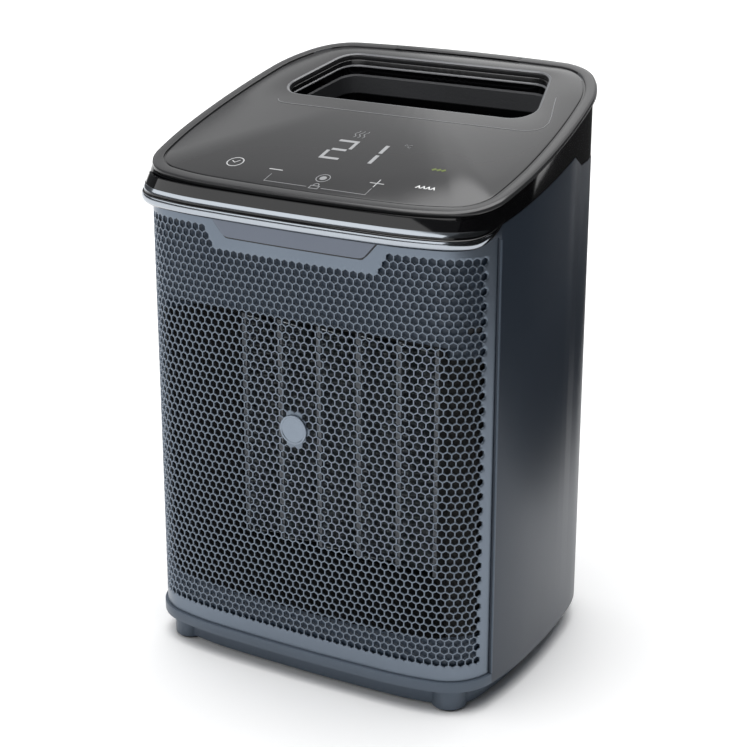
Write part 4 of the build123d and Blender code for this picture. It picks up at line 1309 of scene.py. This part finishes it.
# ---- casing ----------------------------------------------------------------------------------------
@dataclass
class Casing:
    """Shell, rear cover, plinth and feet, with the corners of their mouldings rounded."""

    shell_round: float = 0.6
    cover_round: float = 0.35
    plinth_round: float = 0.5
    rim_rise: float = 17.65
    bead_back: float = 24.6
    bead_radius: float = 0.55
    bead_low: float = 17.9
    bead_high: float = 229.2

    def carried(self, node: str, name: str, radius: float, finish: Finish, slot: str) -> None:
        """Copy a CAD node, round its corners and dress it."""
        piece = Bench.copy_of(node, name)
        Bench.soften(piece, radius, 2, 40.0)
        Bench.smooth(piece, 30.0)
        Bench.present(piece, finish, slot, stands_for=[node])

    def edge_beads(self) -> bpy.types.Object:
        """Upright beads that edge the shell beside the grille, in the lighter base colour: a rounded
        edge with a painted highlight line.

        Returns:
            Both beads in one piece.
        """
        sides = []
        for side in (-1, 1):
            Bench.clear()
            point = BODY.at(side * BODY.behind(self.bead_back))
            x, y = point.grown(-self.bead_radius + 0.25)
            bpy.ops.mesh.primitive_cylinder_add(
                vertices=20, radius=self.bead_radius * MM,
                depth=(self.bead_high - self.bead_low) * MM,
                location=Vector((x, y, (self.bead_high + self.bead_low) / 2)) * MM)
            bead = Bench.named("edge_bead")
            Bench.soften(bead, 0.2, 2, 60.0)
            Bench.settle(bead)
            sides.append(bead)
        piece = Bench.joined(sides, "shell_edge_beads")
        Bench.smooth(piece, 40.0)
        return piece

    def build(self) -> None:
        """Build and dress the casing's pieces."""
        # The beads take the lighter base colour instead of the shell's: painted highlight.
        Bench.present(self.edge_beads(), BASE_ABS_AND_SHELL_LIGHT, "shell_plastic")
        self.carried("body_shell", "wrapped_shell", self.shell_round, SATIN_ABS, "shell_plastic")
        shell = bpy.data.objects["wrapped_shell"]
        # Shell faces below the rim's top take the lighter base colour: painted light on the bottom
        # rim band.
        shell.data.materials.append(BASE_ABS_AND_SHELL_LIGHT.material())
        for face in shell.data.polygons:
            face.material_index = 1 if face.center.z < self.rim_rise * MM else 0
        self.carried("rear_cover", "slatted_rear_cover", self.cover_round, SATIN_ABS,
                     "shell_plastic")
        self.carried("plinth_base", "recessed_plinth", self.plinth_round, BASE_ABS_AND_SHELL_LIGHT,
                     "base_plastic")
        self.carried("rubber_feet", "dished_feet", 0.6, RUBBER, "rubber")


# ---- heater ----------------------------------------------------------------------------------------
@dataclass
class OutletDuct:
    """Plate behind the grille, with painted shade: near black round the mouth where the air comes out
    and on its up- and down-facing faces.
    """

    mouth_low: float = 40.0
    mouth_high: float = 176.0

    def build(self) -> None:
        """Copy the duct, part it at the mouth's edges and paint shade on the middle and on the faces
        that face up or down.
        """
        piece = Bench.copy_of("outlet_duct", "outlet_duct_moulding")
        for rise in (self.mouth_low, self.mouth_high):
            Bench.edit(lambda z=rise: bpy.ops.mesh.bisect(plane_co=(0, 0, z * MM),
                                                          plane_no=(0, 0, 1)))
        for finish in (DUCT_PP, DUCT_PAINTED_SHADE):
            piece.data.materials.append(finish.material())
        # Faces inside the mouth and faces that face up or down go near black: painted shade inside
        # the duct.
        for face in piece.data.polygons:
            rise = face.center.z / MM
            inside = self.mouth_low < rise < self.mouth_high
            face.material_index = 1 if inside or abs(face.normal.z) > 0.3 else 0
        Bench.smooth(piece, 30.0)
        Bench.present(piece, DUCT_PP, "duct_plastic", stands_for=["outlet_duct"])


@dataclass
class HeaterFins:
    """Corrugated aluminium fins between the ceramic bars."""

    columns: int = 5
    width: float = 111.0
    height: float = 117.0
    bar: float = 2.6
    wave: float = 3.8
    back: float = 40.0
    depth: float = 11.5
    axis_rise: float = 110.3
    sheet: float = 0.3

    def build(self) -> None:
        """Build one folded strip for each column and join them."""
        strips = []
        step = self.width / self.columns
        folds = int((self.height - 3.0) / (self.wave / 2))
        for column in range(self.columns):
            centre = (column - (self.columns - 1) / 2) * step
            half = (step - self.bar) / 2 - 0.35
            if column in (0, self.columns - 1):
                centre -= math.copysign(self.bar / 4, centre)
                half -= self.bar / 4
            rows = []
            for fold in range(folds + 1):
                x = centre + half * (1 if fold % 2 else -1)
                rise = self.axis_rise + (fold - folds / 2) * self.wave / 2
                rows.append([Vector((x, FRONT_Y + self.back, rise)) * MM,
                             Vector((x, FRONT_Y + self.back + self.depth, rise)) * MM])
            strip = Bench.lattice("fin_strip", rows, False, False)
            Bench.modify(strip, "SOLIDIFY", thickness=self.sheet * MM, offset=0.0)
            strips.append(strip)
        piece = Bench.joined(strips, "corrugated_fins")
        Bench.edit(lambda: bpy.ops.mesh.normals_make_consistent(inside=False))
        Bench.present(piece, FIN_ALUMINIUM, "aluminium", stands_for=["heater_fins"])


# ---- rear ------------------------------------------------------------------------------------------
@dataclass
class IntakeFilter:
    """Pull-out filter: a frame with soft corners, and a woven net with its two stay bars."""

    pitch: float = 2.1
    strand: float = 0.42
    frame_round: float = 0.5
    stay_width: float = 1.6
    stay_depth: float = 0.9
    stay_back: float = 0.6
    stay_round: float = 0.3

    @staticmethod
    def region() -> tuple[Vector, Vector, Vector]:
        """Low corner, size and middle of the net's CAD node, in millimetres."""
        low, high = (Vector(corner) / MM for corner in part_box("filter_mesh"))
        return low, high - low, (low + high) / 2

    def net(self) -> bpy.types.Object:
        """Build the net by giving thickness to the edges of a fine grid.

        Returns:
            The net, standing in the filter's frame.
        """
        _, size, middle = self.region()
        Bench.clear()
        bpy.ops.mesh.primitive_grid_add(
            x_subdivisions=round(size.x / self.pitch), y_subdivisions=round(size.z / self.pitch),
            size=1, location=middle * MM, rotation=(math.radians(90), 0, 0))
        piece = Bench.named("woven_filter_net")
        piece.scale = (size.x * MM, size.z * MM, 1.0)
        Bench.settle(piece)
        Bench.modify(piece, "WIREFRAME", thickness=self.strand * MM, use_even_offset=False)
        return piece

    def stays(self) -> bpy.types.Object:
        """Build the bars that hold the net flat.

        Returns:
            Both bars in one piece.
        """
        low, size, middle = self.region()
        bars = []
        for share in (1 / 3, 2 / 3):
            Bench.clear()
            bpy.ops.mesh.primitive_cube_add(
                size=1, location=Vector((middle.x, middle.y + self.stay_back,
                                         low.z + share * size.z)) * MM)
            bar = Bench.named("net_stay")
            bar.scale = Vector((size.x, self.stay_depth, self.stay_width)) * MM
            Bench.settle(bar)
            Bench.soften(bar, self.stay_round, 2, 60.0)
            bars.append(bar)
        piece = Bench.joined(bars, "filter_net_stays")
        Bench.smooth(piece, 40.0)
        return piece

    def build(self) -> None:
        """Build and dress the filter's pieces."""
        Bench.present(self.net(), NYLON_MESH, "filter_cloth", "intake_filter", ["filter_mesh"])
        Bench.present(self.stays(), BLACK_ABS, "black_plastic", "intake_filter")
        rim = Bench.copy_of("intake_filter_frame", "filter_pull_frame")
        Bench.soften(rim, self.frame_round, 2, 40.0)
        Bench.smooth(rim, 30.0)
        Bench.present(rim, BLACK_ABS, "black_plastic", "intake_filter", ["intake_filter_frame"])


@dataclass
class RearFittings:
    """Mains rocker, its housing and the cord gland, with moulded corners."""

    rounds: tuple[tuple[str, str, str, float, Finish, str], ...] = (
        ("mains_rocker", "switch_rocker", "mains_rocker", 0.35, PIANO_ABS, "gloss_black"),
        ("rocker_housing", "switch_bezel", HOUSING, 0.4, BLACK_ABS, "black_plastic"),
        ("cord_gland", "flared_cord_gland", HOUSING, 0.5, RUBBER, "rubber"),
    )

    def build(self) -> None:
        """Copy each fitting, round its corners and dress it."""
        for node, name, body, radius, finish, slot in self.rounds:
            piece = Bench.copy_of(node, name)
            Bench.soften(piece, radius, 2, 40.0)
            Bench.smooth(piece, 30.0)
            Bench.present(piece, finish, slot, body, [node])


# ---- carried CAD nodes -----------------------------------------------------------------------------
class CarriedNodes:
    """CAD nodes whose shape is right, dressed in real finishes."""

    def build(self) -> None:
        """Give every CAD node the finish of its slot."""
        slots = {}
        for entry in frame["record"]["materials"]:
            for node in entry.get("nodes", []):
                slots[node] = entry["slot"]
        for name, node in frame["nodes"].items():
            slot = slots.get(name)
            if slot is None and node.data.materials:
                slot = node.data.materials[0].name.split(".")[0]
            finish = CAD_FINISHES.get(slot, BLACK_ABS)
            node.data.materials.clear()
            node.data.materials.append(finish.material())
            log.info("%s: carried in %s", name, finish.name)


# ---- studio ----------------------------------------------------------------------------------------
@dataclass(frozen=True)
class Softbox:
    """One rectangular lamp that looks at the heater."""

    name: str
    place: tuple[float, float, float]
    size: tuple[float, float]
    power: float
    target: tuple[float, float, float] = (0.0, 0.0, 0.14)
    colour: str = "#ffffff"


@dataclass
class Studio:
    """Camera, floor and lamps."""

    camera_place: tuple[float, float, float] = (0.4484, -0.77245, 0.4483)
    azimuth: float = 30.35
    elevation: float = 19.35
    roll: float = -0.05
    lens: float = 91.6
    floor_size: float = 14.0
    world_light: float = 0.14
    sun_strength: float = 3.2
    sun_angle: float = 60.0
    flags: tuple[tuple, ...] = (
        ((0.56, 0.4, 0.5), (90.0, 0.0, 90.0), (4.0, 1.0)),
        ((0.05, 1.38, 0.002), (0.0, 0.0, 19.2), (0.6, 2.4)),
    )
    lamps: list[Softbox] = field(default_factory=lambda: [
        Softbox("key_softbox", (-1.25, -1.85, 1.35), (4.4, 1.3), 25.0, (0.0, 0.0, 0.2)),
        Softbox("rear_left_softbox", (-1.35, 1.45, 1.75), (2.6, 1.8), 9.0, (0.0, 0.0, 0.26)),
        Softbox("rear_right_softbox", (-0.25, 1.65, 1.7), (1.7, 1.8), 7.5, (0.0, 0.0, 0.26)),
    ])

    def camera(self) -> None:
        """Make the camera."""
        data = bpy.data.cameras.new("studio_camera")
        data.lens = self.lens
        data.sensor_width = 36.0
        data.clip_start, data.clip_end = 0.01, 60.0
        camera = bpy.data.objects.new("studio_camera", data)
        camera.location = self.camera_place
        camera.rotation_euler = (math.radians(90 - self.elevation), math.radians(self.roll),
                                 math.radians(self.azimuth))
        bpy.context.scene.collection.objects.link(camera)
        bpy.context.scene.camera = camera

    def floor(self) -> None:
        """Make the pale floor."""
        Bench.clear()
        bpy.ops.mesh.primitive_grid_add(x_subdivisions=8, y_subdivisions=8,
                                        size=self.floor_size, location=(0, 0, 0))
        piece = Bench.named("studio_floor")
        piece.data.materials.append(FLOOR.material())

    def flag(self) -> None:
        """Make the dark flags that keep light off the right side."""
        for place, turn, size in self.flags:
            Bench.clear()
            bpy.ops.mesh.primitive_plane_add(
                size=1, location=place, rotation=[math.radians(angle) for angle in turn])
            piece = Bench.named("dark_flag")
            piece.scale = (*size, 1.0)
            Bench.settle(piece)
            piece.data.materials.append(FLAG_BLACK.material())
            piece.visible_camera = piece.visible_shadow = piece.visible_diffuse = False

    def light(self) -> None:
        """Make the lamps and the even light round them."""
        for lamp in self.lamps:
            data = bpy.data.lights.new(lamp.name, "AREA")
            data.shape = "RECTANGLE"
            data.size, data.size_y = lamp.size
            data.energy = lamp.power
            data.color = linear(lamp.colour)[:3]
            made = bpy.data.objects.new(lamp.name, data)
            made.location = lamp.place
            made.visible_camera = False
            way = Vector(lamp.target) - Vector(lamp.place)
            made.rotation_euler = way.to_track_quat("-Z", "Y").to_euler()
            bpy.context.scene.collection.objects.link(made)
        data = bpy.data.lights.new("sky_light", "SUN")
        data.energy, data.angle = self.sun_strength, math.radians(self.sun_angle)
        sky = bpy.data.objects.new("sky_light", data)
        sky.location = (0.0, 0.0, 3.0)
        bpy.context.scene.collection.objects.link(sky)
        world = bpy.data.worlds.new("studio_world")
        world.use_nodes = True
        back = world.node_tree.nodes["Background"]
        back.inputs[0].default_value = linear("#f2f5f9")
        back.inputs[1].default_value = self.world_light
        bpy.context.scene.world = world
        bpy.context.scene.view_settings.view_transform = "Standard"

    def build(self) -> None:
        """Make the whole studio."""
        self.floor()
        self.flag()
        self.light()


def main() -> None:
    """Build the heater and its studio."""
    logging.basicConfig(level=logging.INFO, format="%(name)s %(message)s")
    studio = Studio()
    studio.camera()
    CarriedNodes().build()
    for maker in (FrontGrille(), FrontLip(), TouchPanel(), HandlePocket(), PanelMarks(),
                  TopHousing(), Casing(), OutletDuct(), HeaterFins(),
                  IntakeFilter(), RearFittings()):
        maker.build()
    studio.build()


if __name__ == "__main__":
    main()
